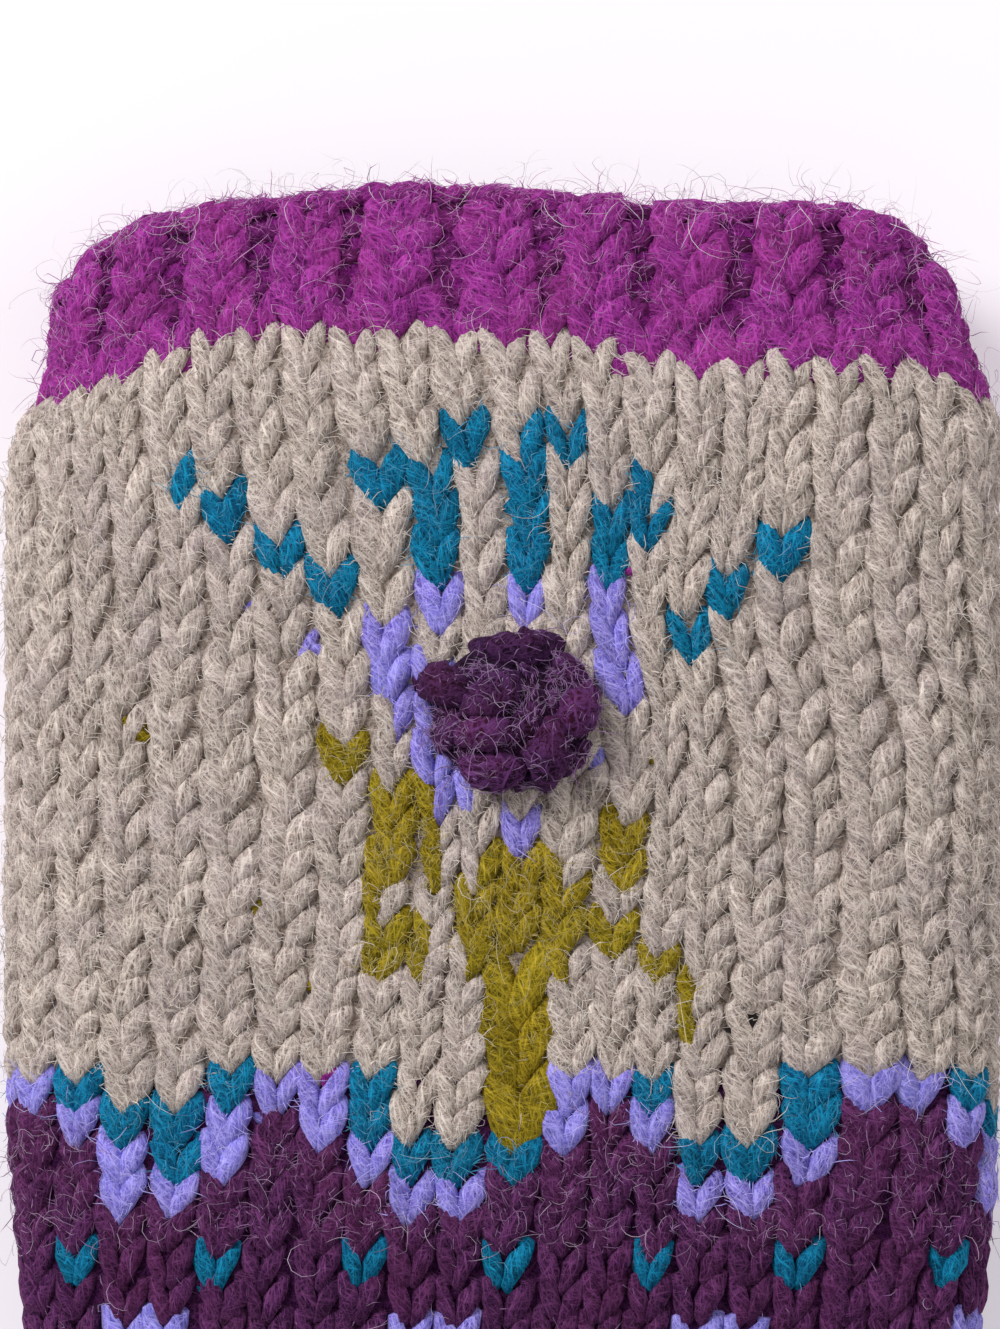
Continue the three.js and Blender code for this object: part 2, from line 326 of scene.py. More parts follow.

# Tufts of the yarns carried behind the fabric, where they show between the stitches. The taupe ones with
# a shade below zero are painted shade: dark tufts in the small hole and in gaps between the stitches.
SPECKS = (
    # colour, x, at, reach, depth, shade (0.5 is the yarn's own)
    ("teal", -35.3, 29.4, 1.1, 1.1, 0.5),
    ("lavender", -18.9, 46.6, 1.3, 1.1, 0.5),
    ("lavender", -24.5, 42.5, 0.9, 1.1, 0.5),
    ("lavender", -34.3, 39.6, 0.9, 1.1, 0.5),
    ("lavender", 9.0, 57.1, 1.4, 1.1, 0.5),
    ("olive", -36.3, 54.6, 1.4, 0.9, 0.5),
    ("olive", -21.5, 58.4, 1.1, 1.0, 0.5),
    ("olive", 15.0, 57.7, 1.4, 0.9, 0.5),
    ("olive", -24.8, 72.4, 0.9, 1.1, 0.5),
    ("olive", -17.8, 79.9, 1.4, 0.9, 0.5),
    ("magenta", 13.5, 39.2, 1.1, 0.7, 0.5),
    ("magenta", -17.3, 88.9, 0.9, 0.7, 0.5),
    ("taupe", 23.8, 84.0, 1.4, 1.1, -2.8),
    ("teal", 24.9, 86.3, 1.2, 1.2, 0.5),
    ("taupe", 33.5, 24.7, 0.6, 1.1, -1.6),
    ("taupe", 36.5, 26.9, 0.6, 1.1, -1.6),
    ("taupe", 38.5, 33.4, 0.5, 1.1, -1.6),
    ("taupe", 33.5, 40.9, 0.5, 1.1, -1.6),
    ("taupe", 30.5, 51.9, 0.5, 1.1, -1.6),
    ("taupe", 29.5, 55.9, 0.5, 1.1, -1.6),
    ("taupe", 22.1, 58.9, 0.5, 1.1, -1.6),
    ("taupe", 22.2, 62.2, 0.5, 1.1, -1.6),
    ("taupe", 20.4, 78.4, 0.5, 1.1, -1.6),
    ("taupe", 30.0, 78.4, 0.5, 1.1, -1.6),
)
# A tuft is a few short strands, sized as shares of its reach.
TUFT_STRANDS = 3
TUFT_SCATTER = 0.3
TUFT_SPAN = 2.2
TUFT_SHARES = {"half_breadth": 0.55, "half_body": 0.5}
TUFT_SWELL = (0.1, 0.9)
TUFT_PAINTED_SHADE = 0.3
TUFT_SHADE_VARIES = 0.1
SMALL_HOLE = {"x": 23.8, "at": 84.0, "reach": 1.7, "push": 0.95}

# The bobble's lobes, the stretches of its crumpled fabric that stand out, and the small tufts
# that lie between them round its dome, as seeds do in a flower's head.
BOBBLE_LOBES = (
    # x and y from its middle, way that it points in degrees, length, half width, lift
    (-6.8, 2.9, -25, 6.2, 2.1, 0.2),
    (0.9, 6.5, 4, 9.4, 2.0, 0.0),
    (5.9, 3.9, -58, 5.6, 1.5, 0.0),
    (6.6, 0.4, 65, 5.4, 2.2, 0.3),
    (3.5, -3.7, 80, 6.6, 2.3, 0.3),
    (-1.9, -5.6, -4, 6.2, 2.3, 0.2),
    (-2.0, 2.0, 32, 6.4, 1.9, 0.4),
    (-2.8, -1.7, 8, 5.6, 1.9, 0.2),
    (1.6, -0.2, 85, 4.6, 1.4, -0.3),
    (6.0, -4.2, 50, 4.0, 1.3, -0.4),
    (-6.2, -1.6, 60, 4.4, 1.2, -0.4),
)
SEEDS = 26
SEED_TURN = math.radians(137.5)
SEED_LENGTH = (2.6, 4.2)
SEED_HALF_WIDTH = (0.7, 1.1)
SEED_LIFT = (-1.0, -0.5)
SEED_SPREAD = 0.86
LOBE_SINK = 0.9
LOBE_DROOP = 0.9
LOBE_BEND = 0.5
LOBE_SWELL = (0.05, 0.95, 0.55)
LOBE_ROUGHNESS = 0.05
LOBE_THICKNESS = 0.85
LOBE_LUMPS = 0.085
# The dome inside them: its share of the bobble's width, its room under the top, its depth and dimples,
# and its tint, painted nearly black as painted shade between the lobes.
CORE_SHARE = 0.9
CORE_ROOM = 1.3
CORE_DEPTH = 1.2
DIMPLE = 0.35
CORE_PAINTED_SHADE = -1.2

# The heathered wools, as sRGB hex: shaded fibres, the yarn, the fibres that catch the light, and
# the other fleece that is carded in, in patches.
WOOLS = {
    "magenta": ("#2C0330", "#83207C", "#BC4CB0", "#8F2F66"),
    "taupe": ("#4C3D35", "#B2A096", "#F0E4DA", "#A8939E"),
    "teal": ("#001C2C", "#005276", "#1E9CC8", "#0E5088"),
    "lavender": ("#40348C", "#8878E0", "#C2B8FF", "#7F86E2"),
    "plum": ("#0A020A", "#3A1240", "#7A4276", "#54183C"),
    "bobble": ("#030003", "#2A0C30", "#6E3E78", "#5A1A36"),
    "olive": ("#1C1500", "#7B6708", "#C8AE36", "#6A6A10"),
}
# The hairs' colours: each wool's own, made lighter than its yarn, partly as painted light through thin
# fibres.
FUZZ = {
    "magenta": "#AE52A6",
    "taupe": "#CFC3BA",
    "teal": "#1A86AC",
    "lavender": "#AFA6F0",
    "plum": "#86598A",
    "olive": "#A8953A",
    "bobble": "#80568A",
    "rim": "#DADDD8",
}


def linear(hex_colour):
    """A colour written as sRGB hex, as linear red, green and blue."""
    channels = [int(hex_colour[k : k + 2], 16) / 255 for k in (1, 3, 5)]
    return [c / 12.92 if c <= 0.04045 else ((c + 0.055) / 1.055) ** 2.4 for c in channels]


# The fabric: where a row and a share of the way round lie in space


def smooth_through(places, values, wanted):
    """The value at each wanted place on the smooth curve through a table, as the walls have it."""
    places, values = np.asarray(places, float), np.asarray(values, float)
    before = np.maximum(np.arange(len(places)) - 1, 0)
    after = np.minimum(np.arange(len(places)) + 1, len(places) - 1)
    slopes = (values[after] - values[before]) / (places[after] - places[before])
    held = np.clip(wanted, places[0], places[-1])
    i = np.clip(np.searchsorted(places, held, side="right") - 1, 0, len(places) - 2)
    span = places[i + 1] - places[i]
    t = (held - places[i]) / span
    rise = t * t * (3 - 2 * t)
    ease = t * (1 - t) ** 2 * slopes[i] - t * t * (1 - t) * slopes[i + 1]
    return values[i] * (1 - rise) + values[i + 1] * rise + span * ease


def section(column, at):
    return smooth_through(SECTIONS["at"], SECTIONS[column], at)


def flattened(angle, half_width, half_height):
    """A point of a rounded oblong, its angle counted from the top towards +X."""
    side, top = np.sin(angle), np.cos(angle)
    power = 2 / SQUARENESS
    across = half_width * np.sign(side) * np.abs(side) ** power
    up = half_height * np.sign(top) * np.abs(top) ** power
    return across, up


# A share of the way round is measured along a mean section, by its half width and half height.
MEAN_SHAPE = (48, 10.5)
MEAN_STEPS = 14401
ROUND_ANGLES = np.linspace(0, 2 * math.pi, MEAN_STEPS)
ROUND_POINTS = np.stack(flattened(ROUND_ANGLES, *MEAN_SHAPE), axis=1)
ROUND_LENGTHS = np.concatenate([[0], np.cumsum(np.linalg.norm(np.diff(ROUND_POINTS, axis=0), axis=1))])


def rounded(share):
    """A share eased at both its ends."""
    return 0.5 - 0.5 * np.cos(math.pi * share)


def row_drop(at, turn):
    """How far a row lies below its middle: it curves down to the side folds."""
    around = turn - np.round(turn)
    side = np.abs(around) * 4
    curve = np.where(around < 0, LEFT_CURVE, RIGHT_CURVE)
    back = rounded(np.minimum(side, 1) ** curve)
    palm = PALM_DROP_SHARE + (1 - PALM_DROP_SHARE) * rounded(np.clip(2 - side, 0, 1) ** PALM_CURVE)
    return section("drop", at) * np.where(side <= 1, back, palm)


def swell_at(x, at):
    """How far the back of the hand swells out at a place."""
    total = np.zeros(np.shape(x))
    for place, row, reach, rise in SWELLS:
        total += rise * np.exp(-((x - place) ** 2 + (at - row) ** 2) / reach**2)
    return total


def fabric(at, turn):
    """Points of the fabric's outer face, in millimetres."""
    at, turn = np.broadcast_arrays(np.asarray(at, float), np.asarray(turn, float))
    angle = np.interp((turn % 1) * ROUND_LENGTHS[-1], ROUND_LENGTHS, ROUND_ANGLES)
    height = section("height", at)
    x, z = flattened(angle, section("half_width", at), height / 2)
    lift = height / 2 - REST_SINK + z + swell_at(x, at) * np.maximum(np.cos(angle), 0)
    leaned = x + section("lean", at) * (0.5 - z / height)
    return np.stack([leaned, LENGTH / 2 - at - row_drop(at, turn), np.maximum(lift, 0)], axis=-1)


def unit(vectors):
    return vectors / np.maximum(np.linalg.norm(vectors, axis=-1, keepdims=True), 1e-9)


NEAR_ROW = 0.3
NEAR_TURN = 0.0012


def fabric_frame(at, turn):
    """Points of the outer face, with the ways outward and towards the finger edge there."""
    across = fabric(at, turn + NEAR_TURN) - fabric(at, turn - NEAR_TURN)
    fingers = fabric(at - NEAR_ROW, turn) - fabric(at + NEAR_ROW, turn)
    outward = unit(np.cross(across, fingers))
    return fabric(at, turn), outward, unit(fingers)


BACK_STEPS = 1601


def wale_turns():
    """The share of the way round of each wale, a row for every millimetre from the finger edge."""
    back = np.linspace(-0.25, 0.25, BACK_STEPS)
    charted = np.array([row[0] for row in WALES])
    wales = np.arange(charted[0], charted[0] + STITCHES_ROUND + 1)
    rows = []
    for k, at in enumerate(WALE_ROWS):
        x_back = fabric(at, back)[:, 0]
        turns = np.interp([row[k + 1] for row in WALES], x_back, back)
        places = np.append(charted, charted[0] + STITCHES_ROUND)
        rows.append(np.interp(wales, places, np.append(turns, turns[0] + 1)))
    rows.append(wales / STITCHES_ROUND)
    places = [*WALE_ROWS, EVEN_FROM]
    along = np.arange(0, LENGTH + 1)
    return np.stack(
        [smooth_through(places, [row[j] for row in rows], along) for j in range(len(wales))], axis=1
    )


WALE_TURNS = wale_turns()


def turn_of(wale, at):
    """The share of the way round of a place between the wales, at a row."""
    place = (wale - WALES[0][0]) % STITCHES_ROUND
    j = np.minimum(place.astype(int), STITCHES_ROUND - 1)
    k = np.clip(np.floor(at), 0, LENGTH - 1).astype(int)
    across, along = place - j, np.clip(at, 0, LENGTH) - k
    upper = WALE_TURNS[k, j] * (1 - across) + WALE_TURNS[k, j + 1] * across
    lower = WALE_TURNS[k + 1, j] * (1 - across) + WALE_TURNS[k + 1, j + 1] * across
    return upper * (1 - along) + lower * along


def row_shift(wale, at):
    """How far the rows wander off the walls' own line at a place."""
    near = (np.asarray(wale) + STITCHES_ROUND / 2) % STITCHES_ROUND - STITCHES_ROUND / 2
    shift = 0
    for wave in ROW_WAVES:
        fading = np.exp(-(((at - wave["at"]) / wave["reach"]) ** 2))
        shift = shift + np.interp(near, wave["wale"], wave["shift"]) * fading
    return shift


# Strands and fibres: closed meshes worked out as arrays


# Each strand's pattern starts this much further along the yarn than the last one's, in millimetres,
# and starts again after a length.
PATTERN_STEP = 7.31
PATTERN_LENGTH = 97
# A fibre is turned about a way that few fibres follow, and tapers between two shares of a half wave.
OFF_WAY = (0.31, 0.83, 0.47)
HAIR_TAPER = (0.12, 0.94)


def swelling(steps, start, end, power=1):
    """Shares of a strand's full thickness along it, less towards its ends."""
    return np.sin(math.pi * np.linspace(start, end, steps)) ** power


def strands(centres, outward, half_breadth, half_body, sides, tint, sunk, lumpy=YARN_LUMPS):
    """Closed strands of yarn along rows of points, flat side to the fabric, with capped ends."""
    count, steps = centres.shape[:2]
    heading = unit(np.gradient(centres, axis=1))
    across = unit(np.cross(outward, heading))
    inward = np.cross(heading, across)
    swing = 2 * math.pi * np.arange(sides) / sides
    ring = (
        across[:, :, None] * (half_breadth[..., None] * np.cos(swing))[..., None]
        + inward[:, :, None] * (half_body[..., None] * np.sin(swing))[..., None]
    )
    lumps = 1 + lumpy * np.random.default_rng(count).normal(0, 1, (count, steps, sides, 1))
    points = centres[:, :, None] + ring * lumps
    points[..., 2] = np.maximum(points[..., 2], RESTS_AT)
    first = (np.arange(count * steps) * sides).reshape(count, steps)
    j = np.arange(sides)
    after = (j + 1) % sides
    low, high = first[:, :-1, None], first[:, 1:, None]
    quads = np.stack([low + j, low + after, high + after, high + j], axis=-1).reshape(-1, 4)
    caps = np.concatenate([first[:, :1] + j[::-1], first[:, -1:] + j]).reshape(-1, sides)
    lengths = np.linalg.norm(np.diff(centres, axis=1), axis=2)
    along = np.concatenate([np.zeros((count, 1)), np.cumsum(lengths, axis=1)], axis=1)
    along += (np.arange(count) * PATTERN_STEP % PATTERN_LENGTH)[:, None]
    girth = math.pi * (half_breadth + half_body).mean()
    quad_u = np.stack([along[:, :-1], along[:, :-1], along[:, 1:], along[:, 1:]], axis=-1)
    quad_u = np.repeat(quad_u[:, :, None], sides, axis=2).reshape(-1)
    ring_v = np.stack([j, j + 1, j + 1, j], axis=-1) * girth / sides
    quad_v = np.tile(ring_v, (count * (steps - 1), 1)).reshape(-1)
    cap_u = np.repeat(np.concatenate([along[:, 0], along[:, -1]]), sides)
    cap_v = np.zeros(len(cap_u))
    return {
        "points": points.reshape(-1, 3),
        "corners": np.concatenate([quads.reshape(-1), caps.reshape(-1)]),
        "totals": np.concatenate([np.full(len(quads), 4), np.full(len(caps), sides)]),
        "uv": np.stack([np.concatenate([quad_u, cap_u]), np.concatenate([quad_v, cap_v])], axis=1),
        "tint": np.repeat(tint, steps * sides),
        "sunk": np.repeat(np.broadcast_to(sunk, (count, steps)).reshape(-1), sides),
    }


def fibres(paths, radius, tint):
    """Fine closed hairs of three sides that taper to a point at both ends."""
    count, steps = paths.shape[:2]
    heading = unit(np.gradient(paths, axis=1))
    beside = unit(np.cross(heading, np.array(OFF_WAY)))
    above = np.cross(heading, beside)
    swing = 2 * math.pi * np.arange(3) / 3
    taper = swelling(steps, *HAIR_TAPER)[1:-1]
    around = (
        beside[:, 1:-1, None] * np.cos(swing)[:, None] + above[:, 1:-1, None] * np.sin(swing)[:, None]
    ) * (taper[:, None, None] * radius[:, None, None, None])
    rings = (paths[:, 1:-1, None] + around).reshape(count, -1, 3)
    points = np.concatenate([paths[:, :1], rings, paths[:, -1:]], axis=1)
    each = points.shape[1]
    base = (np.arange(count) * each)[:, None, None]
    j = np.arange(3)
    after = (j + 1) % 3
    ring = 1 + 3 * np.arange(steps - 3)[:, None]
    quads = np.stack([ring + j, ring + after, ring + 3 + after, ring + 3 + j], axis=-1)
    quads = quads.reshape(1, -1, 4) + base
    top = each - 1
    tips = np.stack([np.zeros(3, int), 1 + after, 1 + j], axis=-1)
    ends = np.stack([np.full(3, top), top - 3 + j, top - 3 + after], axis=-1)
    triangles = np.concatenate([tips, ends])[None] + base
    corners = np.concatenate([quads.reshape(-1), triangles.reshape(-1)])
    return {
        "points": points.reshape(-1, 3),
        "corners": corners,
        "totals": np.concatenate([np.full(quads.shape[0] * quads.shape[1], 4), np.full(count * 6, 3)]),
        "uv": np.zeros((len(corners), 2)),
        "tint": np.repeat(tint, each),
        "sunk": np.zeros(count * each),
    }


def joined(parts):
    """Several strands or fibres as one set of arrays."""
    offset, corners = 0, []
    for part in parts:
        corners.append(part["corners"] + offset)
        offset += len(part["points"])
    whole = {key: np.concatenate([part[key] for part in parts]) for key in parts[0] if key != "corners"}
    whole["corners"] = np.concatenate(corners)
    return whole


def make_piece(name, parts, material, replaces=()):
    """One mesh object from arrays in millimetres, riding with the mitten."""
    whole = joined(parts)
    mesh = bpy.data.meshes.new(name)
    mesh.vertices.add(len(whole["points"]))
    mesh.vertices.foreach_set("co", (whole["points"] * MM).astype(np.float32).ravel())
    mesh.loops.add(len(whole["corners"]))
    mesh.loops.foreach_set("vertex_index", whole["corners"].astype(np.int32))
    mesh.polygons.add(len(whole["totals"]))
    starts = np.concatenate([[0], np.cumsum(whole["totals"])[:-1]])
    mesh.polygons.foreach_set("loop_start", starts.astype(np.int32))
    mesh.update(calc_edges=True)
    mesh.validate()
    mesh.uv_layers.new(name="yarn").data.foreach_set("uv", whole["uv"].astype(np.float32).ravel())
    for key in ("tint", "sunk"):
        attribute = mesh.attributes.new(key, "FLOAT", "POINT")
        attribute.data.foreach_set("value", whole[key].astype(np.float32))
    mesh.shade_smooth()
    mesh.materials.append(material)
    piece = bpy.data.objects.new(name, mesh)
    bpy.context.collection.objects.link(piece)
    finish_piece(piece, replaces)
    return piece


def finish_piece(piece, replaces=()):
    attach(piece, "root")
    if replaces:
        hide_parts(*replaces)


# The stitches


def loop_samples(path, steps):
    """A path at some shares along its table, on a smooth curve."""
    table = np.array(path)
    places = np.arange(len(table)) / (len(table) - 1)
    return [smooth_through(places, table[:, k], np.array(steps) / steps[-1]) for k in range(table.shape[1])]


def held_inside(at):
    """Places held inside both rims, which they near more and more slowly."""
    room = EDGE_SLOWING - EDGE_ROOM
    for _ in ("finger rim", "wrist rim"):
        slowed = EDGE_ROOM + room * np.exp(np.minimum(at - EDGE_SLOWING, 0) / room)
        at = LENGTH - np.where(at < EDGE_SLOWING, slowed, at)
    return at


def hole_push(points):
    """Stitches round the small hole are pushed aside."""
    away = points[..., :2] - np.array([SMALL_HOLE["x"], LENGTH / 2 - SMALL_HOLE["at"]])
    distance = np.maximum(np.linalg.norm(away, axis=-1, keepdims=True), 1e-6)
    push = SMALL_HOLE["push"] * np.exp(-((distance / SMALL_HOLE["reach"]) ** 2))
    upper = (points[..., 2:] > PALM_BELOW).astype(float)
    moved = points.copy()
    moved[..., :2] += away / distance * push * upper
    return moved


def lay_legs(legs, fine, rng):
    """The centre lines and sizes of some legs. legs is an array with a row for each leg."""
    steps = FINE_STEPS if fine else PLAIN_STEPS
    count = len(legs)
    side = legs["side"][:, None]
    is_purl, in_rib = legs["purl"][:, None], legs["in_rib"][:, None]
    knit_path, purl_path = loop_samples(LEG_PATH, steps), loop_samples(PURL_PATH, steps)
    across, up, depth, breadth, body = (
        np.where(is_purl, purl, knit) for knit, purl in zip(knit_path, purl_path)
    )
    up = np.where(is_purl, -side * (up + PURL_APART), up)
    across = np.where(is_purl, across * side, across)
    slant = np.where(is_purl, 0.0, np.where(side < 0, LEFT_SLANT, RIGHT_SLANT))
    spread = np.where(in_rib & ~is_purl, RIB_KNIT_SPREAD, 1.0) * legs["spread"][:, None]
    size = legs["size"][:, None] * rng.normal(1, UNEVEN["leg"], (count, 1))
    uneven = np.where(is_purl, PURL_UNEVEN, 1)
    wale = legs["wale"][:, None] + legs["sway"][:, None] + (-side * across + slant * up) * spread
    wale = wale + rng.normal(0, UNEVEN["wale"], (count, 1)) * uneven
    at = legs["at"][:, None] - up * legs["pitch"][:, None]
    at = held_inside(at + rng.normal(0, UNEVEN["row"], (count, 1)) * uneven)
    linked = np.where(in_rib & ~is_purl & (np.arange(len(steps)) == 0), RIB_LINK_DEPTH, depth)
    is_rope = (in_rib | (side < 0)) & ~is_purl & (legs["spread"][:, None] <= 1)
    linked = linked - np.where(is_rope, ROPE_RISE, 0) * np.clip(linked - FACE_DEPTH, 0, ROPE_REACH)
    inward = linked + rng.normal(0, UNEVEN["depth"], (count, 1))
    turn = turn_of(wale, at)
    place, outward, _ = fabric_frame(at, turn)
    right, left = (fabric(at, turn_of(wale + half, at)) for half in (0.5, -0.5))
    width = np.linalg.norm(right - left, axis=-1)
    centres = hole_push(place - outward * inward[..., None])
    fat = np.where(in_rib & ~is_purl, RIB_KNIT_BREADTH, 1.0)
    fat = fat * (FAT_SHARES[0] + FAT_SHARES[1] * legs["spread"][:, None])
    half_breadth = breadth * np.clip(width, *WALE_WIDTHS) * size * fat
    return {
        "centres": centres,
        "outward": outward,
        "half_breadth": half_breadth,
        "half_body": body * size,
        # Deeper places are painted in shade, purl stitches more so.
        "sunk": np.clip((inward - FACE_DEPTH) / SUNK_REACH, 0, 1) * np.where(is_purl, PURL_SHADE, 1),
    }


LEG_FIELDS = [
    *((name, float) for name in ("wale", "at", "pitch", "side", "sway", "size", "spread")),
    ("purl", bool),
    ("in_rib", bool),
    ("colour", "U10"),
]


def chart_colour(run, wale, row, side):
    """The colour of a leg by the charts."""
    leg = "L" if side < 0 else "R"
    chart = {"hand": FLOWER_CHART, "band": STEM_IN_BAND}.get(run, ())
    for colour, charted, first, last, legs in chart:
        if wale == charted and first <= row <= last and legs in ("B", leg):
            return colour
    if run == "band":
        from_first = wale - FIRST_BAND_WALE
        if row < len(BAND_TOP_CHART) and 0 <= from_first < len(BAND_TOP_CHART[row]):
            return BAND_COLOURS[BAND_TOP_CHART[row][from_first]]
        return BAND_COLOURS[BAND_CHART[row][wale % len(BAND_CHART[row])]]
    return "taupe" if run == "hand" else "magenta"


def row_starts(run):
    """Where each row of a run starts, and where the last one ends."""
    spec = RUNS[run]
    if run == "hand":
        return smooth_through(*HAND_ROWS, np.arange(spec["rows"] + 1))
    return np.linspace(spec["start"], spec["end"], spec["rows"] + 1)


def run_of_legs(run, rng):
    """All legs of a run of rows, with their places, sizes and colours."""
    starts = row_starts(run)
    in_rib = run.endswith("rib")
    wobble = rng.uniform(0, 2 * math.pi, (STITCHES_ROUND, 2))
    rows = []
    for row in range(len(starts) - 1):
        middle, pitch = (starts[row] + starts[row + 1]) / 2, starts[row + 1] - starts[row]
        for k in range(STITCHES_ROUND):
            wale = FIRST_BACK_WALE + k
            ripple = RIPPLE * math.sin(RIPPLE_BY_WALE * k + row * RIPPLE_BY_ROW)
            at = middle + row_shift(wale, middle) + ripple
            sway = sum(reach * math.sin(row * rate + turn) for (reach, rate), turn in zip(SWAYS, wobble[k]))
            size = 1 + rng.normal(0, UNEVEN["stitch"])
            spread, tall, under = 1.0, 1, False
            for part, wide_wale, from_row, to_row, wide in STEM_WIDE:
                if part == run and wale == wide_wale and from_row <= row <= to_row:
                    spread, tall, under = wide, 2, (row - from_row) % 2 == 1
            if under:
                continue
            at += (tall - 1) * pitch / 2
            last_row = row == len(starts) - 2 and run == "finger_rib"
            purl = in_rib and wale % 2 == 1 and not last_row
            for side in (-1, 1):
                colour = chart_colour(run, wale, row, side)
                rows.append((wale, at, pitch * tall, side, sway, size, spread, purl, in_rib, colour))
    return np.array(rows, dtype=LEG_FIELDS)


def in_thumb_hole(x, y, margin):
    """True inside the long rounded outline of the thumb opening, grown by a margin."""
    radius = THUMB["width"] / 2
    straight = THUMB["length"] / 2 - radius
    dy = y - (LENGTH / 2 - THUMB["at"])
    along = np.clip(dy, -straight, straight)
    return np.hypot(x - THUMB["x"], dy - along) < radius + margin


# Where hairs can grow: the strands laid so far, by colour and by whether they are on the back.
ROOTS = []


def knitted(run, rng):
    """The strands of a run of rows, by colour and by whether they are on the back of the hand."""
    legs = run_of_legs(run, rng)
    turn = turn_of(legs["wale"], legs["at"])
    middle = fabric(legs["at"], turn)
    on_back = (legs["wale"] <= LAST_BACK_WALE) & (legs["at"] < LAST_FINE_ROW)
    on_palm = middle[:, 2] < PALM_BELOW
    open_thumb = on_palm & in_thumb_hole(middle[:, 0], middle[:, 1], STITCHES_CLEAR)
    made = {}
    for fine in (True, False):
        kept = legs[(on_back == fine) & ~open_thumb]
        if not len(kept):
            continue
        laid = lay_legs(kept, fine, rng)
        tint = rng.normal(*TINTS["stitch"], len(kept))
        for colour in sorted(set(kept["colour"])):
            chosen = kept["colour"] == colour
            sides = FINE_SIDES if fine else PLAIN_SIDES
            picked = {key: value[chosen] for key, value in laid.items()}
            part = strands(tint=tint[chosen], sides=sides, **picked)
            ROOTS.append({"colour": colour, "fine": fine, **picked})
            made[colour, fine] = part
    return made


def colour_parts(made, colour):
    """The strands of one colour of a run."""
    return [part for (name, _), part in made.items() if name == colour]


def edge_links(at, towards_end, rng):
    """The bound-off edge: loose, uneven links that lie slanted over the rim, three deep."""
    count = round(STITCHES_ROUND * RIM_LINKS)
    wales = np.arange(count) * STITCHES_ROUND / count + FIRST_BACK_WALE
    share = np.linspace(-0.5, 0.5, 7)
    rim = WALL / 2
    parts = []
    for start, end in RIM_ROLLS:
        across, aside, roll, larger, inside = rng.normal(0, 1, (5, count, 1))
        wale = wales[:, None] + share * (RIM_LINK["across"] + RIM_VARIES["across"] * across)
        wale = wale + RIM_VARIES["place"] * aside
        rolled = math.pi * (start + (end - start) * (share + 0.5) + RIM_VARIES["roll"] * roll)
        row = at + towards_end * rim + (row_shift(wale, rim) if at == 0 else 0 * wale)
        place, outward, fingers = fabric_frame(row, turn_of(wale, row))
        out = outward * np.cos(rolled)[..., None] + fingers * towards_end * np.sin(rolled)[..., None]
        depth = rim - RIM_LINK["inside"] + RIM_VARIES["inside"] * inside
        swell = swelling(len(share), *RIM_SWELL)
        size = np.clip(1 + RIM_VARIES["size"] * larger, *RIM_SIZES)
        picked = {
            "centres": place - outward * rim + out * depth[..., None],
            "outward": out,
            "half_breadth": RIM_LINK["half_breadth"] * swell * size,
            "half_body": RIM_LINK["half_body"] * swell * size,
            # The rim's links are painted in shade.
            "sunk": np.full((count, len(share)), RIM_LINK["shade"]),
        }
        for pool in ("magenta", "rim"):
            ROOTS.append({"colour": pool, "fine": at < LAST_FINE_ROW, **picked})
        parts.append(strands(tint=rng.normal(*TINTS["rim"], count), sides=6, **picked))
    return parts


def thumb_links(rng):
    """The chain round the thumb opening: slanted strands under, in and over its rim."""
    radius = THUMB["width"] / 2
    straight = THUMB["length"] - THUMB["width"]
    middle_ring = radius + THUMB["edge"] / 2
    whole = 2 * straight + 2 * math.pi * middle_ring
    links = round(whole / THUMB_LINK["pitch"])
    share = np.linspace(-0.5, 0.5, 8)
    along = (np.arange(links)[:, None] + share * THUMB_LINK["overlap"]) * whole / links % whole
    first, second = straight, straight + math.pi * middle_ring
    third = second + straight
    stretches = [along < first, along < second, along < third]
    swing = np.select(
        stretches,
        [0 * along, (along - first) / middle_ring, math.pi + 0 * along],
        math.pi + (along - third) / middle_ring,
    )
    y = np.select(
        stretches,
        [along - straight / 2, straight / 2 + 0 * along, straight / 2 - (along - second)],
        -straight / 2 + 0 * along,
    )
    away = np.stack([np.cos(swing), np.sin(swing)], axis=-1)
    parts = []
    for outer, inner, low, high, facing in THUMB_LAYERS:
        offset = outer + (inner - outer) * (share + 0.5) + 0 * along
        flat = away * (radius + offset)[..., None]
        flat[..., 0] += THUMB["x"]
        flat[..., 1] += y + LENGTH / 2 - THUMB["at"]
        height = low + (high - low) * (share + 0.5) + palm_lift(flat[..., 0], LENGTH / 2 - flat[..., 1])
        out = np.concatenate([-away * (1 - abs(facing)), np.full((*away.shape[:2], 1), facing)], axis=-1)
        swell = swelling(len(share), *THUMB_SWELL)
        size = rng.normal(1, THUMB_LINK["size_varies"], (links, 1))
        picked = {
            "centres": np.concatenate([flat, height[..., None]], axis=-1),
            "outward": unit(out),
            "half_breadth": THUMB_LINK["half_breadth"] * swell * size,
            "half_body": THUMB_LINK["half_body"] * swell * size,
            "sunk": np.zeros((links, len(share))),
        }
        ROOTS.append({"colour": "taupe", "fine": False, **picked})
        parts.append(strands(tint=rng.normal(*TINTS["thumb_edge"], links), sides=8, **picked))
    return parts


def palm_lift(x, at):
    """How high the palm's outer face lies over the surface at a place."""
    half = section("height", at) / 2
    share = np.clip(np.abs(x) / section("half_width", at), 0, 0.99) ** SQUARENESS
    return np.maximum(half - REST_SINK - half * (1 - share) ** (1 / SQUARENESS), 0)


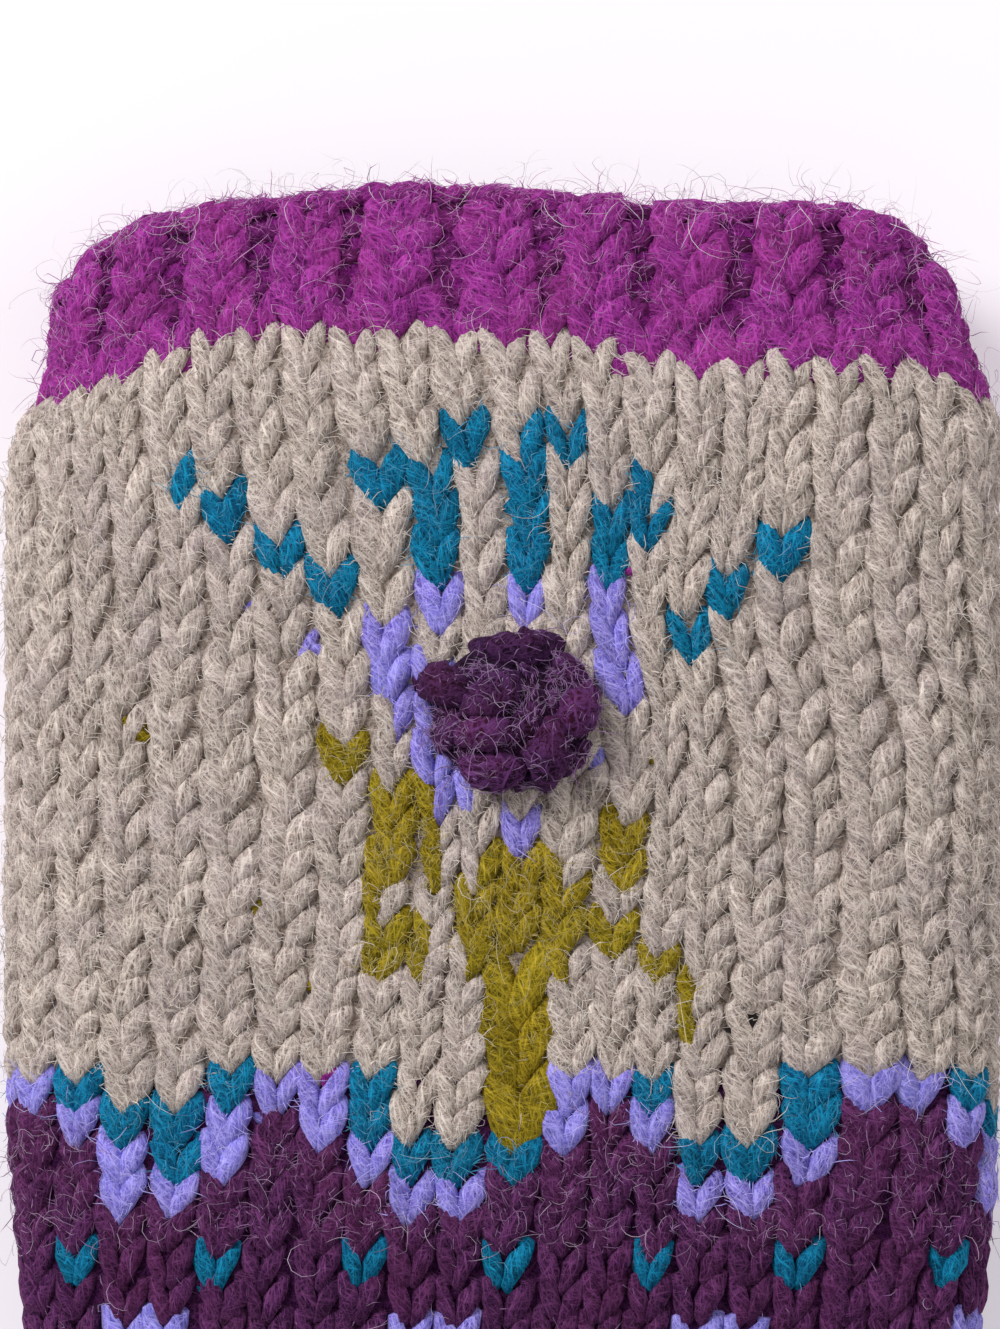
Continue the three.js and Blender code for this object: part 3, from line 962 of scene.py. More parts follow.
def tuft(rng, x, at, reach, deep, shade):
    """A few short strands of carried yarn, at a place between the stitches."""
    share = np.linspace(-0.5, 0.5, 6)
    size = (TUFT_STRANDS, 1)
    way = rng.uniform(0, math.pi, size)
    px = x + rng.normal(0, reach * TUFT_SCATTER, size) + np.cos(way) * share * reach * TUFT_SPAN
    py = LENGTH / 2 - at + rng.normal(0, reach * TUFT_SCATTER, size)
    py = py + np.sin(way) * share * reach * TUFT_SPAN
    place, outward, _ = fabric_frame(LENGTH / 2 - py, px / ROUND_LENGTHS[-1])
    centres = np.stack([px, py, place[..., 2] - deep], axis=-1)
    swell = np.broadcast_to(swelling(len(share), *TUFT_SWELL), px.shape)
    sizes = {key: reach * part * swell for key, part in TUFT_SHARES.items()}
    # Dark tufts are fully in painted shade, the others partly.
    sunk = np.full(px.shape, TUFT_PAINTED_SHADE if shade > 0 else 1)
    tint = rng.normal(shade, TUFT_SHADE_VARIES, TUFT_STRANDS)
    return strands(centres, outward, sides=8, tint=tint, sunk=sunk, **sizes)


# The felt starts under the finger rim and runs a little way under the hand's first row, where the
# hand's felt laps it.
FELT_START = 2.2
FELT_OVER = 1.4
FELT_LAP = 0.8
FELTS = (
    # run, wool, start, end, depth
    ("finger_rib", "magenta", FELT_START, RIB_END + FELT_OVER, 1.7),
    ("hand", "taupe", RIB_END + FELT_OVER - FELT_LAP, BAND_START, 1.45),
    ("band", "plum", BAND_START, BAND_END, 1.45),
    ("wrist_rib", "magenta", BAND_END, 186.8, 1.7),
)
FELT_AROUND = 96
FELT_ROW = 3.2
FELT_THICKNESS = 0.7


def felt_wall(name, start, end, depth, material):
    """The matted fibres inside the fabric, a thin wall in the middle of its thickness."""
    around, rows = FELT_AROUND, max(int((end - start) / FELT_ROW), 3)
    wales = np.arange(around) * STITCHES_ROUND / around + FIRST_BACK_WALE
    at, wale = np.meshgrid(np.linspace(start, end, rows), wales, indexing="ij")
    at = at + row_shift(wale, at)
    place, outward, _ = fabric_frame(at, turn_of(wale, at))
    points = (place - outward * depth).reshape(-1, 3)
    faces = []
    for k in range(rows - 1):
        for j in range(around):
            ahead = (j + 1) % around
            corners = [k * around + j, (k + 1) * around + j, (k + 1) * around + ahead, k * around + ahead]
            x, y, z = points[corners].mean(axis=0)
            if z >= PALM_BELOW or not in_thumb_hole(x, y, FELT_CLEAR):
                faces.append(corners)
    mesh = bpy.data.meshes.new(name)
    mesh.from_pydata((points * MM).tolist(), [], faces)
    mesh.materials.append(material)
    wall = bpy.data.objects.new(name, mesh)
    bpy.context.collection.objects.link(wall)
    select_only(wall)
    bpy.ops.object.mode_set(mode="EDIT")
    bpy.ops.mesh.select_all(action="SELECT")
    bpy.ops.mesh.delete_loose()
    bpy.ops.object.mode_set(mode="OBJECT")
    thicken = wall.modifiers.new("felt", "SOLIDIFY")
    thicken.thickness = FELT_THICKNESS * MM
    thicken.offset = 0
    bpy.ops.object.modifier_apply(modifier=thicken.name)
    bpy.ops.object.shade_smooth()
    finish_piece(wall)


def select_only(piece):
    bpy.ops.object.select_all(action="DESELECT")
    piece.select_set(True)
    bpy.context.view_layer.objects.active = piece


# The bobble


def bobble_height(x, y):
    """How high the dome stands over the back of the hand, at a place from its middle."""
    share = (x / BOBBLE["half_width"]) ** 2 + (y / BOBBLE["half_length"]) ** 2
    return BOBBLE["height"] * np.sqrt(np.clip(1 - share, 0, 1))


def bobble_base(x, y):
    """How high the back of the hand lies under the bobble."""
    at = BOBBLE["at"] - y
    turn = (BOBBLE["x"] + x) / ROUND_LENGTHS[-1]
    return fabric(at, turn)[..., 2]


def bobble_lobes(rng):
    """Fat lobes that stand out of the dome, with small tufts of yarn between them."""
    reach = np.sqrt((np.arange(SEEDS) + 0.5) / SEEDS) * SEED_SPREAD
    around = np.arange(SEEDS) * SEED_TURN
    seeds = np.stack(
        [
            BOBBLE["half_width"] * reach * np.cos(around),
            BOBBLE["half_length"] * reach * np.sin(around),
            *(rng.uniform(*ends, SEEDS) for ends in ((0, 180), SEED_LENGTH, SEED_HALF_WIDTH, SEED_LIFT)),
        ],
        axis=1,
    )
    table = np.concatenate([np.array(BOBBLE_LOBES), seeds])
    share = np.linspace(-0.5, 0.5, 12)
    x0, y0, way, length, half_width, lift = (table[:, k, None] for k in range(table.shape[1]))
    way = np.radians(way)
    bend = rng.normal(0, LOBE_BEND, (len(table), 1)) * share**2 * 4
    x = x0 + np.cos(way) * length * share - np.sin(way) * bend
    y = y0 + np.sin(way) * length * share + np.cos(way) * bend
    swell = swelling(len(share), *LOBE_SWELL)
    swell = swell * (1 + rng.normal(0, LOBE_ROUGHNESS, (len(table), len(share))))
    z = bobble_base(x, y) + bobble_height(x, y) + lift - LOBE_SINK - LOBE_DROOP * (2 * share) ** 2
    slope_x, slope_y = x / BOBBLE["half_width"] ** 2, y / BOBBLE["half_length"] ** 2
    picked = {
        "centres": np.stack([x + BOBBLE["x"], y + LENGTH / 2 - BOBBLE["at"], z], axis=-1),
        "outward": unit(np.stack([slope_x * 5, slope_y * 5, 0.4 + 0 * x], axis=-1)),
        "half_breadth": half_width * swell,
        "half_body": half_width * LOBE_THICKNESS * swell,
        # Lobes that sink into the dome are painted in shade by how far they sink.
        "sunk": np.clip(-lift, 0, 1) + np.zeros(x.shape),
    }
    ROOTS.append({"colour": "bobble", "fine": True, **picked})
    tint = rng.normal(*TINTS["bobble"], len(table))
    return strands(tint=tint, sides=12, lumpy=LOBE_LUMPS, **picked)


def bobble_core():
    """The dome inside the lobes, as a part in the same arrays."""
    bpy.ops.object.select_all(action="DESELECT")
    bpy.ops.mesh.primitive_ico_sphere_add(subdivisions=4, radius=1)
    ball = bpy.context.object
    points = np.array([v.co for v in ball.data.vertices])
    corners = np.array([face.vertices[:] for face in ball.data.polygons])
    bpy.data.objects.remove(ball)
    x = points[:, 0] * BOBBLE["half_width"] * CORE_SHARE
    y = points[:, 1] * BOBBLE["half_length"] * CORE_SHARE
    lift = points[:, 2] * np.where(points[:, 2] > 0, BOBBLE["height"] - CORE_ROOM, CORE_DEPTH)
    dimples = DIMPLE * np.sin(x * 1.9 + 1.1 * y) * np.sin(y * 2.1 - 0.6 * x)
    z = bobble_base(x, y) + lift + dimples * (points[:, 2] > 0.1)
    placed = np.stack([x + BOBBLE["x"], y + LENGTH / 2 - BOBBLE["at"], z], axis=1)
    return {
        "points": placed,
        "corners": corners.reshape(-1),
        "totals": np.full(len(corners), 3),
        "uv": placed[corners.reshape(-1), :2],
        # The dome is painted nearly black and fully shaded: painted shade between the lobes.
        "tint": np.full(len(placed), CORE_PAINTED_SHADE),
        "sunk": np.full(len(placed), 1.0),
    }


# The halo of fibres


# Places no more sunk than the first number keep all their hairs, and those beyond the second have none.
VALLEY_HAIRS = (1.0, 2.2)
HALO = (
    # yarn, its wool, then how many naps, strays, long hairs and ringlets: on the back, and elsewhere
    ("taupe", "taupe", (14500, 1500), (9200, 1000), (800, 200), (0, 0)),
    ("magenta", "magenta", (8500, 900), (3000, 500), (480, 100), (0, 0)),
    ("rim", "magenta", (0, 0), (0, 0), (480, 120), (0, 0)),
    ("teal", "teal", (1700, 100), (900, 60), (60, 20), (0, 0)),
    ("lavender", "lavender", (1000, 60), (600, 40), (50, 20), (0, 0)),
    ("olive", "olive", (1700, 0), (900, 0), (70, 0), (0, 0)),
    ("plum", "plum", (1200, 100), (800, 60), (120, 20), (0, 0)),
    ("bobble", "plum", (1500, 0), (260, 0), (20, 0), (130, 0)),
)
NAP_HALF_THICKNESS = 0.068
HAIR_KINDS = (
    # name, shortest, longest, segments, curl, pull back to the fabric, half thickness, lift, spread
    ("nap", 0.9, 2.3, 2, 0.4, 0.3, NAP_HALF_THICKNESS, 0.35, 0.9),
    ("strays", 2.2, 4.4, 3, 0.55, 0.3, 0.047, 0.4, 1.1),
    ("hairs", 3.5, 8.5, 7, 0.75, 0.06, 0.030, 1.1, 1.3),
    ("ringlets", 4.0, 8.0, 12, 0.95, 0.05, 0.052, 0.7, 1.5),
)
# The long hairs are painted paler by this share, towards this colour: painted light through thin fibres.
PAINTED_LIGHT_SHARE = 0.35
PAINTED_LIGHT_PALE = "#F2EAF0"
# Hairs grow from a stretch of a strand, so far round its face, a little inside it, and lean out by
# shares of the fabric's own way out and of their strand's.
ROOT_STRETCH = (0.3, 0.75)
ROOT_SWING = 1.1
ROOT_INSIDE = 0.92
ROOT_LEANS = (0.8, 0.5)
# A hair curls about the way outward mixed with a random one, at a rate that varies from hair to hair
# and wanders along it.
CURL_AXIS = (0.9, 0.5)
CURL_VARIES = 0.35
WANDER = 0.5
WANDER_RATE = 1.3
LEAST_LIFT = 0.1
HAIR_THICKNESSES = (0.7, 1.25)


def turned(vectors, axis, angle):
    """Vectors turned about unit axes."""
    cos, sin = np.cos(angle)[..., None], np.sin(angle)[..., None]
    along = (vectors * axis).sum(axis=-1, keepdims=True) * axis
    return vectors * cos + np.cross(axis, vectors) * sin + along * (1 - cos)


def fibre_paths(rng, roots, heading, outward, length, steps, curl, settle):
    """Curled paths that leave the yarn and settle back towards the fabric."""
    axis = unit(outward * CURL_AXIS[0] + rng.normal(0, CURL_AXIS[1], roots.shape))
    rate = curl * rng.normal(1, CURL_VARIES, len(roots)) * rng.choice([-1, 1], len(roots))
    wander = rng.normal(0, WANDER, len(roots))
    step = (length / steps)[:, None]
    paths, place = [roots], roots
    for k in range(steps):
        heading = turned(heading, axis, rate * (1 + wander * math.sin(k * WANDER_RATE)) * step[:, 0])
        heading = unit(heading - outward * settle * step)
        place = place + heading * step
        paths.append(place)
    paths = np.stack(paths, axis=1)
    paths[..., 2] = np.maximum(paths[..., 2], RESTS_AT + NAP_HALF_THICKNESS)
    return paths


def fibre_roots(colour, fine, count, rng):
    """Places on the face of the yarns of a colour, with the ways along the yarn and outward."""
    pools = [pool for pool in ROOTS if pool["colour"] == colour and pool["fine"] == fine]
    sizes = np.array([len(pool["centres"]) for pool in pools], float)
    if not sizes.sum():
        return None
    shares = rng.choice(len(pools), count, p=sizes / sizes.sum())
    roots, along, outward = [], [], []
    for k, pool in enumerate(pools):
        chosen = rng.integers(0, len(pool["centres"]), (shares == k).sum())
        steps = pool["centres"].shape[1]
        step = rng.integers(*(int(steps * end) for end in ROOT_STRETCH), len(chosen))
        in_sight = pool["sunk"][chosen, step] < rng.uniform(*VALLEY_HAIRS, len(chosen))
        chosen, step = chosen[in_sight], step[in_sight]
        here, ahead = pool["centres"][chosen, step], pool["centres"][chosen, step + 1]
        out, way = pool["outward"][chosen, step], unit(ahead - here)
        swing = rng.uniform(-ROOT_SWING, ROOT_SWING, len(chosen))
        body, breadth = (pool[half][chosen, step] for half in ("half_body", "half_breadth"))
        offset = out * (np.cos(swing) * body * ROOT_INSIDE)[:, None]
        offset += np.cross(out, way) * (np.sin(swing) * breadth * ROOT_INSIDE)[:, None]
        roots.append(here + (ahead - here) * rng.uniform(0, 1, (len(chosen), 1)) + offset)
        along.append(way)
        outward.append(unit(out * ROOT_LEANS[0] + unit(offset) * ROOT_LEANS[1]))
    return np.concatenate(roots), np.concatenate(along), np.concatenate(outward)


def halo_part(colour, fine, count, kind, rng):
    """The hairs of one kind on the yarns of a colour, on the back or elsewhere."""
    found = fibre_roots(colour, fine, count, rng) if count else None
    if found is None:
        return None
    _, shortest, longest, segments, curl, settle, half_thickness, lift, spread = kind
    roots, along, outward = found
    size = (len(roots), 1)
    forward = along * rng.choice([-1, 1], size)
    sideways = np.cross(outward, along) * rng.normal(0, spread, size)
    heading = unit(forward + sideways + outward * rng.uniform(LEAST_LIFT, lift, size))
    length = rng.uniform(shortest, longest, len(roots))
    paths = fibre_paths(rng, roots, heading, outward, length, segments, curl, settle)
    radius = half_thickness * rng.uniform(*HAIR_THICKNESSES, len(roots))
    return fibres(paths, radius, rng.normal(*TINTS["hair"], len(roots)))


# Materials


def add_node(tree, kind, settings=None, sockets=None, stops=()):
    """Adds a node with its settings and, on a ramp, its stops. A socket's value may be another's output."""
    node = tree.nodes.new(kind)
    for key, value in (settings or {}).items():
        setattr(node, key, value)
    for key, value in (sockets or {}).items():
        if isinstance(value, bpy.types.NodeSocket):
            tree.links.new(value, node.inputs[key])
        else:
            node.inputs[key].default_value = value
    for k, (place, colour) in enumerate(stops):
        element = node.color_ramp.elements[k] if k < 2 else node.color_ramp.elements.new(place)
        element.position = place
        element.color = (*colour, 1)
    return node


def new_material(name):
    material = bpy.data.materials.new(name)
    material.use_nodes = True
    material.node_tree.nodes.clear()
    return material


# How the fibres of a spun yarn lie: they wind round it at the twist's angle, some of them loosely,
# about 0.25 mm apart.
TWISTS = (math.radians(36), math.radians(12))
FIBRES_ACROSS = 4.2
FIBRES_ALONG = 0.3
FIBRE_RELIEF = 0.00022
# Fibres that left the yarn and lie matted over it, about 0.12 mm wide and 2.8 mm long, in layers that
# cross. They are laid out as seen from above, so they run on from stitch to stitch.
STRAY_WAYS = (
    # degrees, and where the layer's noise is read
    (14, (0, 0, 0)),
    (52, (0.031, 0.007, 0.002)),
    (93, (0.009, 0.043, 0.005)),
    (131, (0.057, 0.021, 0.008)),
    (168, (0.013, 0.071, 0.003)),
)
STRAY_SIZE = (0.0028, 0.00024, 0.003)
STRAY_FROM = 0.56
STRAY_TO = 0.70
STRAY_SHOW = 0.6
FELT_STRAY_SHOW = 0.3
# The curls on the bobble: lines a metre, half width as noise, and where the noise is read.
CURL_LAYERS = (
    (330, 0.035, (0, 0, 0)),
    (560, 0.05, (0.3, 0.7, 0.2)),
    (900, 0.07, (0.9, 0.1, 0.5)),
)
PIT_SCALE = 1000
# How much darker the deepest places are painted, as painted shade.
SUNK_SHADE = 0.5
# How light a stitch is: the tint attribute spans the range, up from the darkest.
TINT_RANGE = 0.27
DARKEST_TINT = 0.69
# Patches of the other fleece, about 8 mm wide: how sharp they are, how rare, and how strong at most.
HEATHER_SCALE = 120
HEATHER_SHARPNESS = 3.2
HEATHER_RARITY = -1.35
HEATHER_MOST = 0.45
# The tint's range and its darkest for a single hair.
HAIR_TINT_RANGE = 0.42
DARKEST_HAIR = 0.76
# Settings of the nodes that work out values and mix colours.
TIMES = {"operation": "MULTIPLY"}
TIMES_AND_ADD = {"operation": "MULTIPLY_ADD"}
CLAMPED_TIMES_AND_ADD = {"operation": "MULTIPLY_ADD", "use_clamp": True}
OF_COLOURS = {"data_type": "RGBA"}


def wool_material(name, dark, yarn, light, other, strays):
    """Carded and spun sheep's wool, fulled a little: matt, heathered and matted over with loose fibres."""
    material = new_material(name)
    tree = material.node_tree
    place = add_node(tree, "ShaderNodeTexCoord").outputs["Object"]
    yarn_map = add_node(tree, "ShaderNodeUVMap", {"uv_map": "yarn"}).outputs["UV"]
    layers = []
    for twist in TWISTS:
        wind = {"Vector": yarn_map, "Rotation": (0, 0, twist)}
        wound = add_node(tree, "ShaderNodeMapping", sockets=wind).outputs["Vector"]
        draw = {"Vector": wound, "Scale": (FIBRES_ALONG, FIBRES_ACROSS, 1)}
        drawn = add_node(tree, "ShaderNodeMapping", sockets=draw).outputs["Vector"]
        grain = {"Vector": drawn, "Scale": 1, "Detail": 2, "Roughness": 0.6, "Distortion": 0.5}
        layers.append(add_node(tree, "ShaderNodeTexNoise", sockets=grain).outputs["Fac"])
    fibre = brightest(tree, layers)
    ramp = ((0.4, dark), (0.72, light), (0.56, yarn))
    spun = add_node(tree, "ShaderNodeValToRGB", sockets={"Fac": fibre}, stops=ramp).outputs["Color"]
    patches = {"Vector": place, "Scale": HEATHER_SCALE, "Detail": 3, "Roughness": 0.6}
    blend = add_node(tree, "ShaderNodeTexNoise", sockets=patches).outputs["Fac"]
    sharpen = {0: blend, 1: HEATHER_SHARPNESS, 2: HEATHER_RARITY}
    share = add_node(tree, "ShaderNodeMath", CLAMPED_TIMES_AND_ADD, sharpen).outputs[0]
    share = add_node(tree, "ShaderNodeMath", TIMES, {0: share, 1: HEATHER_MOST}).outputs[0]
    carded = add_node(tree, "ShaderNodeMix", OF_COLOURS, {0: share, 6: spun, 7: (*other, 1)}).outputs[2]
    tint = add_node(tree, "ShaderNodeAttribute", {"attribute_name": "tint"}).outputs["Fac"]
    lighten = {0: tint, 1: TINT_RANGE, 2: DARKEST_TINT}
    value = add_node(tree, "ShaderNodeMath", TIMES_AND_ADD, lighten).outputs[0]
    # Painted shade: places that lie deep in the fabric are painted darker by how sunk they are.
    sunk = add_node(tree, "ShaderNodeAttribute", {"attribute_name": "sunk"}).outputs["Fac"]
    shade = {0: sunk, 1: -SUNK_SHADE, 2: 1.0}
    lit = add_node(tree, "ShaderNodeMath", TIMES_AND_ADD, shade).outputs[0]
    for factor in (lit, pits_of_shade(tree, place)):
        value = add_node(tree, "ShaderNodeMath", TIMES, {0: value, 1: factor}).outputs[0]
    dim = {"Color": carded, "Value": value}
    ground = add_node(tree, "ShaderNodeHueSaturation", sockets=dim).outputs["Color"]
    shown = strays(tree, place)
    for factor in (STRAY_SHOW, value):
        shown = add_node(tree, "ShaderNodeMath", TIMES, {0: shown, 1: factor}).outputs[0]
    colour = add_node(tree, "ShaderNodeMix", OF_COLOURS, {0: shown, 6: ground, 7: (*light, 1)}).outputs[2]
    relief = {"Height": fibre, "Strength": 0.8, "Distance": FIBRE_RELIEF}
    bump = add_node(tree, "ShaderNodeBump", sockets=relief).outputs["Normal"]
    shader = add_node(
        tree,
        "ShaderNodeBsdfPrincipled",
        sockets={
            "Base Color": colour,
            "Normal": bump,
            "Roughness": 0.95,
            "Specular IOR Level": 0.12,
            "Sheen Weight": 0.35,
            "Sheen Roughness": 0.55,
            "Sheen Tint": (*light, 1),
        },
    )
    add_node(tree, "ShaderNodeOutputMaterial", sockets={"Surface": shader.outputs["BSDF"]})
    return material


def fuzz_material(name, colour):
    """Single fibres that stand off the yarn: thin, pale and softly lit."""
    material = new_material(name)
    tree = material.node_tree
    tint = add_node(tree, "ShaderNodeAttribute", {"attribute_name": "tint"}).outputs["Fac"]
    lighten = {0: tint, 1: HAIR_TINT_RANGE, 2: DARKEST_HAIR}
    value = add_node(tree, "ShaderNodeMath", TIMES_AND_ADD, lighten).outputs[0]
    dim = {"Color": (*colour, 1), "Value": value}
    shaded = add_node(tree, "ShaderNodeHueSaturation", sockets=dim).outputs["Color"]
    shader = add_node(
        tree,
        "ShaderNodeBsdfPrincipled",
        sockets={"Base Color": shaded, "Roughness": 0.7, "Specular IOR Level": 0.3, "Sheen Weight": 0.3},
    )
    add_node(tree, "ShaderNodeOutputMaterial", sockets={"Surface": shader.outputs["BSDF"]})
    return material


def felt_material(name, dark, yarn, light):
    """Matted fibres between the stitches, in painted shade: no lustre and a short, tangled nap."""
    material = new_material(name)
    tree = material.node_tree
    place = add_node(tree, "ShaderNodeTexCoord").outputs["Object"]
    matted = {"Vector": place, "Scale": 1400, "Detail": 4, "Roughness": 0.7, "Distortion": 1.2}
    mat = add_node(tree, "ShaderNodeTexNoise", sockets=matted).outputs["Fac"]
    ramp = ((0.22, dark), (0.62, yarn), (0.36, dark))
    shade = add_node(tree, "ShaderNodeValToRGB", sockets={"Fac": mat}, stops=ramp).outputs["Color"]
    faint = {0: crossing_strays(tree, place), 1: FELT_STRAY_SHOW}
    shown = add_node(tree, "ShaderNodeMath", TIMES, faint).outputs[0]
    shade = add_node(tree, "ShaderNodeMix", OF_COLOURS, {0: shown, 6: shade, 7: (*light, 1)}).outputs[2]
    relief = {"Height": mat, "Strength": 0.9, "Distance": 0.0004}
    bump = add_node(tree, "ShaderNodeBump", sockets=relief).outputs["Normal"]
    shader = add_node(
        tree,
        "ShaderNodeBsdfPrincipled",
        sockets={"Base Color": shade, "Normal": bump, "Roughness": 1, "Specular IOR Level": 0.05},
    )
    add_node(tree, "ShaderNodeOutputMaterial", sockets={"Surface": shader.outputs["BSDF"]})
    return material


def brightest(tree, layers):
    """The highest of some values at each place."""
    highest = layers[0]
    for layer in layers[1:]:
        either = {0: highest, 1: layer}
        highest = add_node(tree, "ShaderNodeMath", {"operation": "MAXIMUM"}, either).outputs[0]
    return highest


def crossing_strays(tree, place):
    """Long, nearly straight fibres that cross at many angles."""
    layers = []
    for degrees, shift in STRAY_WAYS:
        turn = (0, 0, math.radians(degrees))
        lay = {"Vector": place, "Location": shift, "Rotation": turn, "Scale": STRAY_SIZE}
        laid = add_node(tree, "ShaderNodeMapping", {"vector_type": "TEXTURE"}, lay).outputs["Vector"]
        wavy = {"Vector": laid, "Scale": 1, "Detail": 1, "Distortion": 1.3}
        noise = add_node(tree, "ShaderNodeTexNoise", sockets=wavy).outputs["Fac"]
        shown = {"Value": noise, "From Min": STRAY_FROM, "From Max": STRAY_TO}
        layers.append(add_node(tree, "ShaderNodeMapRange", sockets=shown).outputs["Result"])
    return brightest(tree, layers)


def curled_strays(tree, place):
    """Thin closed curls, where smooth noises pass their middle value."""
    layers = []
    for scale, half_width, shift in CURL_LAYERS:
        move = {"Vector": place, "Location": shift}
        moved = add_node(tree, "ShaderNodeMapping", sockets=move).outputs["Vector"]
        smooth = {"Vector": moved, "Scale": scale, "Detail": 0.8, "Distortion": 1.2}
        noise = add_node(tree, "ShaderNodeTexNoise", sockets=smooth).outputs["Fac"]
        off = add_node(tree, "ShaderNodeMath", {"operation": "SUBTRACT"}, {0: noise, 1: 0.5}).outputs[0]
        away = add_node(tree, "ShaderNodeMath", {"operation": "ABSOLUTE"}, {0: off}).outputs[0]
        near = {0: away, 1: -1 / half_width, 2: 1.0}
        layers.append(add_node(tree, "ShaderNodeMath", CLAMPED_TIMES_AND_ADD, near).outputs[0])
    return brightest(tree, layers)


def pits_of_shade(tree, place):
    """Small shaded pits between the matted fibres, about a millimetre apart."""
    rough = {"Vector": place, "Scale": PIT_SCALE, "Detail": 2, "Distortion": 0.8}
    grain = add_node(tree, "ShaderNodeTexNoise", sockets=rough).outputs["Fac"]
    range_of_shade = {"Value": grain, "From Min": 0.34, "From Max": 0.56, "To Min": 0.82, "To Max": 1.06}
    return add_node(tree, "ShaderNodeMapRange", sockets=range_of_shade).outputs["Result"]


def wool_of(name, curled=False):
    """The wool of a name, made when it is first asked for."""
    title = f"{'crumpled' if curled else 'heathered'}_{name}_wool"
    found = bpy.data.materials.get(title)
    if found:
        return found
    dark, _, light, other = (linear(shade) for shade in WOOLS[name])
    yarn = list(getattr(bpy.context.scene.mitten_colours, name))
    return wool_material(title, dark, yarn, light, other, curled_strays if curled else crossing_strays)


def fuzz_of(name, pale=False):
    """The single hairs of a wool, painted pale for the long hairs, as painted light through thin fibres."""
    title = f"{'pale' if pale else 'dyed'}_{name}_wool_fibres"
    share = PAINTED_LIGHT_SHARE if pale else 0
    colour = [dyed * (1 - share) + undyed * share for dyed, undyed in zip(linear(FUZZ[name]), linear(PAINTED_LIGHT_PALE))]
    return bpy.data.materials.get(title) or fuzz_material(title, colour)


def felt_of(name):
    """The felt of a wool."""
    title = f"{name}_wool_felt"
    dark, yarn, light, _ = (linear(shade) for shade in WOOLS[name])
    return bpy.data.materials.get(title) or felt_material(title, dark, yarn, light)


# The add-on


def colour_property(name, title, note):
    return FloatVectorProperty(
        name=title, description=note, subtype="COLOR", size=3, min=0, max=1, default=linear(WOOLS[name][1])
    )


class MittenColours(bpy.types.PropertyGroup):
    """The colours of the wools."""

    magenta: colour_property("magenta", "Rib wool", "The wool of both ribs")
    taupe: colour_property("taupe", "Hand wool", "The wool of the hand")
    teal: colour_property("teal", "Petal wool", "The wool of the flower's petals and the band's peaks")
    lavender: colour_property("lavender", "Cup wool", "The wool of the flower's cup and the band's arches")
    plum: colour_property("plum", "Band wool", "The wool of the band's ground")
    bobble: colour_property("bobble", "Bobble wool", "The wool of the flower's bobble")
    olive: colour_property("olive", "Leaf wool", "The wool of the stem and the leaves")


class MittenSizes(bpy.types.PropertyGroup):
    """The sizes and amounts of the finish."""

    fuzz: FloatProperty(
        name="Fuzz",
        description="Share of the full number of loose fibres",
        subtype="FACTOR",
        default=1,
        min=0,
        max=1,
    )
    lens: FloatProperty(
        name="Lens", description="Focal length of the camera", unit="CAMERA", default=200, min=20, max=300
    )
    floor: FloatProperty(
        name="Floor", description="Side of the floor", unit="LENGTH", default=2.4, min=0.5, max=10
    )


class FeltWalls(bpy.types.Operator):
    """Makes the matted fibres inside the walls"""

    bl_idname = "mitten.felt_walls"
    bl_label = "Felt inside the walls"

    def execute(self, context):
        for run, wool, start, end, depth in FELTS:
            felt_wall(f"{run}_felt", start, end, depth, felt_of(wool))
        return {"FINISHED"}


class Ribs(bpy.types.Operator):
    """Knits the finger rib and the wrist rib, with their bound-off edges"""

    bl_idname = "mitten.ribs"
    bl_label = "Ribs"

    def execute(self, context):
        rng = np.random.default_rng(SEED)
        for run, at, towards_end in (("finger_rib", 0, 1), ("wrist_rib", LENGTH, -1)):
            parts = colour_parts(knitted(run, rng), "magenta") + edge_links(at, towards_end, rng)
            make_piece(f"{run}_wool", parts, wool_of("magenta"), (run,))
        return {"FINISHED"}


class Hand(bpy.types.Operator):
    """Knits the hand with its flower"""

    bl_idname = "mitten.hand"
    bl_label = "Hand and flower"

    def execute(self, context):
        made = knitted("hand", np.random.default_rng(SEED + 1))
        for side, fine in (("back", True), ("palm", False)):
            parts = [made["taupe", fine]]
            make_piece(f"hand_{side}_wool", parts, wool_of("taupe"), ("hand_body",))
        for colour, part_name in (("teal", "petals"), ("lavender", "cup"), ("olive", "leaves")):
            make_piece(f"flower_{part_name}", colour_parts(made, colour), wool_of(colour))
        return {"FINISHED"}


class ThumbEdge(bpy.types.Operator):
    """Binds off the edge of the thumb opening"""

    bl_idname = "mitten.thumb_edge"
    bl_label = "Thumb edge"

    def execute(self, context):
        parts = thumb_links(np.random.default_rng(SEED + 2))
        make_piece("thumb_edge_wool", parts, wool_of("taupe"), ("thumb_edge",))
        return {"FINISHED"}


class Bobble(bpy.types.Operator):
    """Makes the raised bobble in the middle of the flower"""

    bl_idname = "mitten.bobble"
    bl_label = "Bobble"

    def execute(self, context):
        parts = [bobble_lobes(np.random.default_rng(SEED + 3)), bobble_core()]
        wool = wool_of("bobble", curled=True)
        make_piece("flower_bobble_wool", parts, wool, ("flower_bobble",))
        return {"FINISHED"}


class Band(bpy.types.Operator):
    """Knits the colourwork band"""

    bl_idname = "mitten.band"
    bl_label = "Pattern band"

    def execute(self, context):
        made = knitted("band", np.random.default_rng(SEED + 4))
        for colour in sorted({name for name, _ in made}):
            parts = colour_parts(made, colour)
            make_piece(f"band_{colour}", parts, wool_of(colour), ("pattern_band",))
        return {"FINISHED"}


class Specks(bpy.types.Operator):
    """Lays the tufts of carried yarn that show between the stitches"""

    bl_idname = "mitten.specks"
    bl_label = "Carried yarns"

    def execute(self, context):
        rng = np.random.default_rng(SEED + 5)
        for colour in sorted({speck[0] for speck in SPECKS}):
            parts = [tuft(rng, *speck[1:]) for speck in SPECKS if speck[0] == colour]
            make_piece(f"carried_{colour}", parts, wool_of(colour))
        return {"FINISHED"}


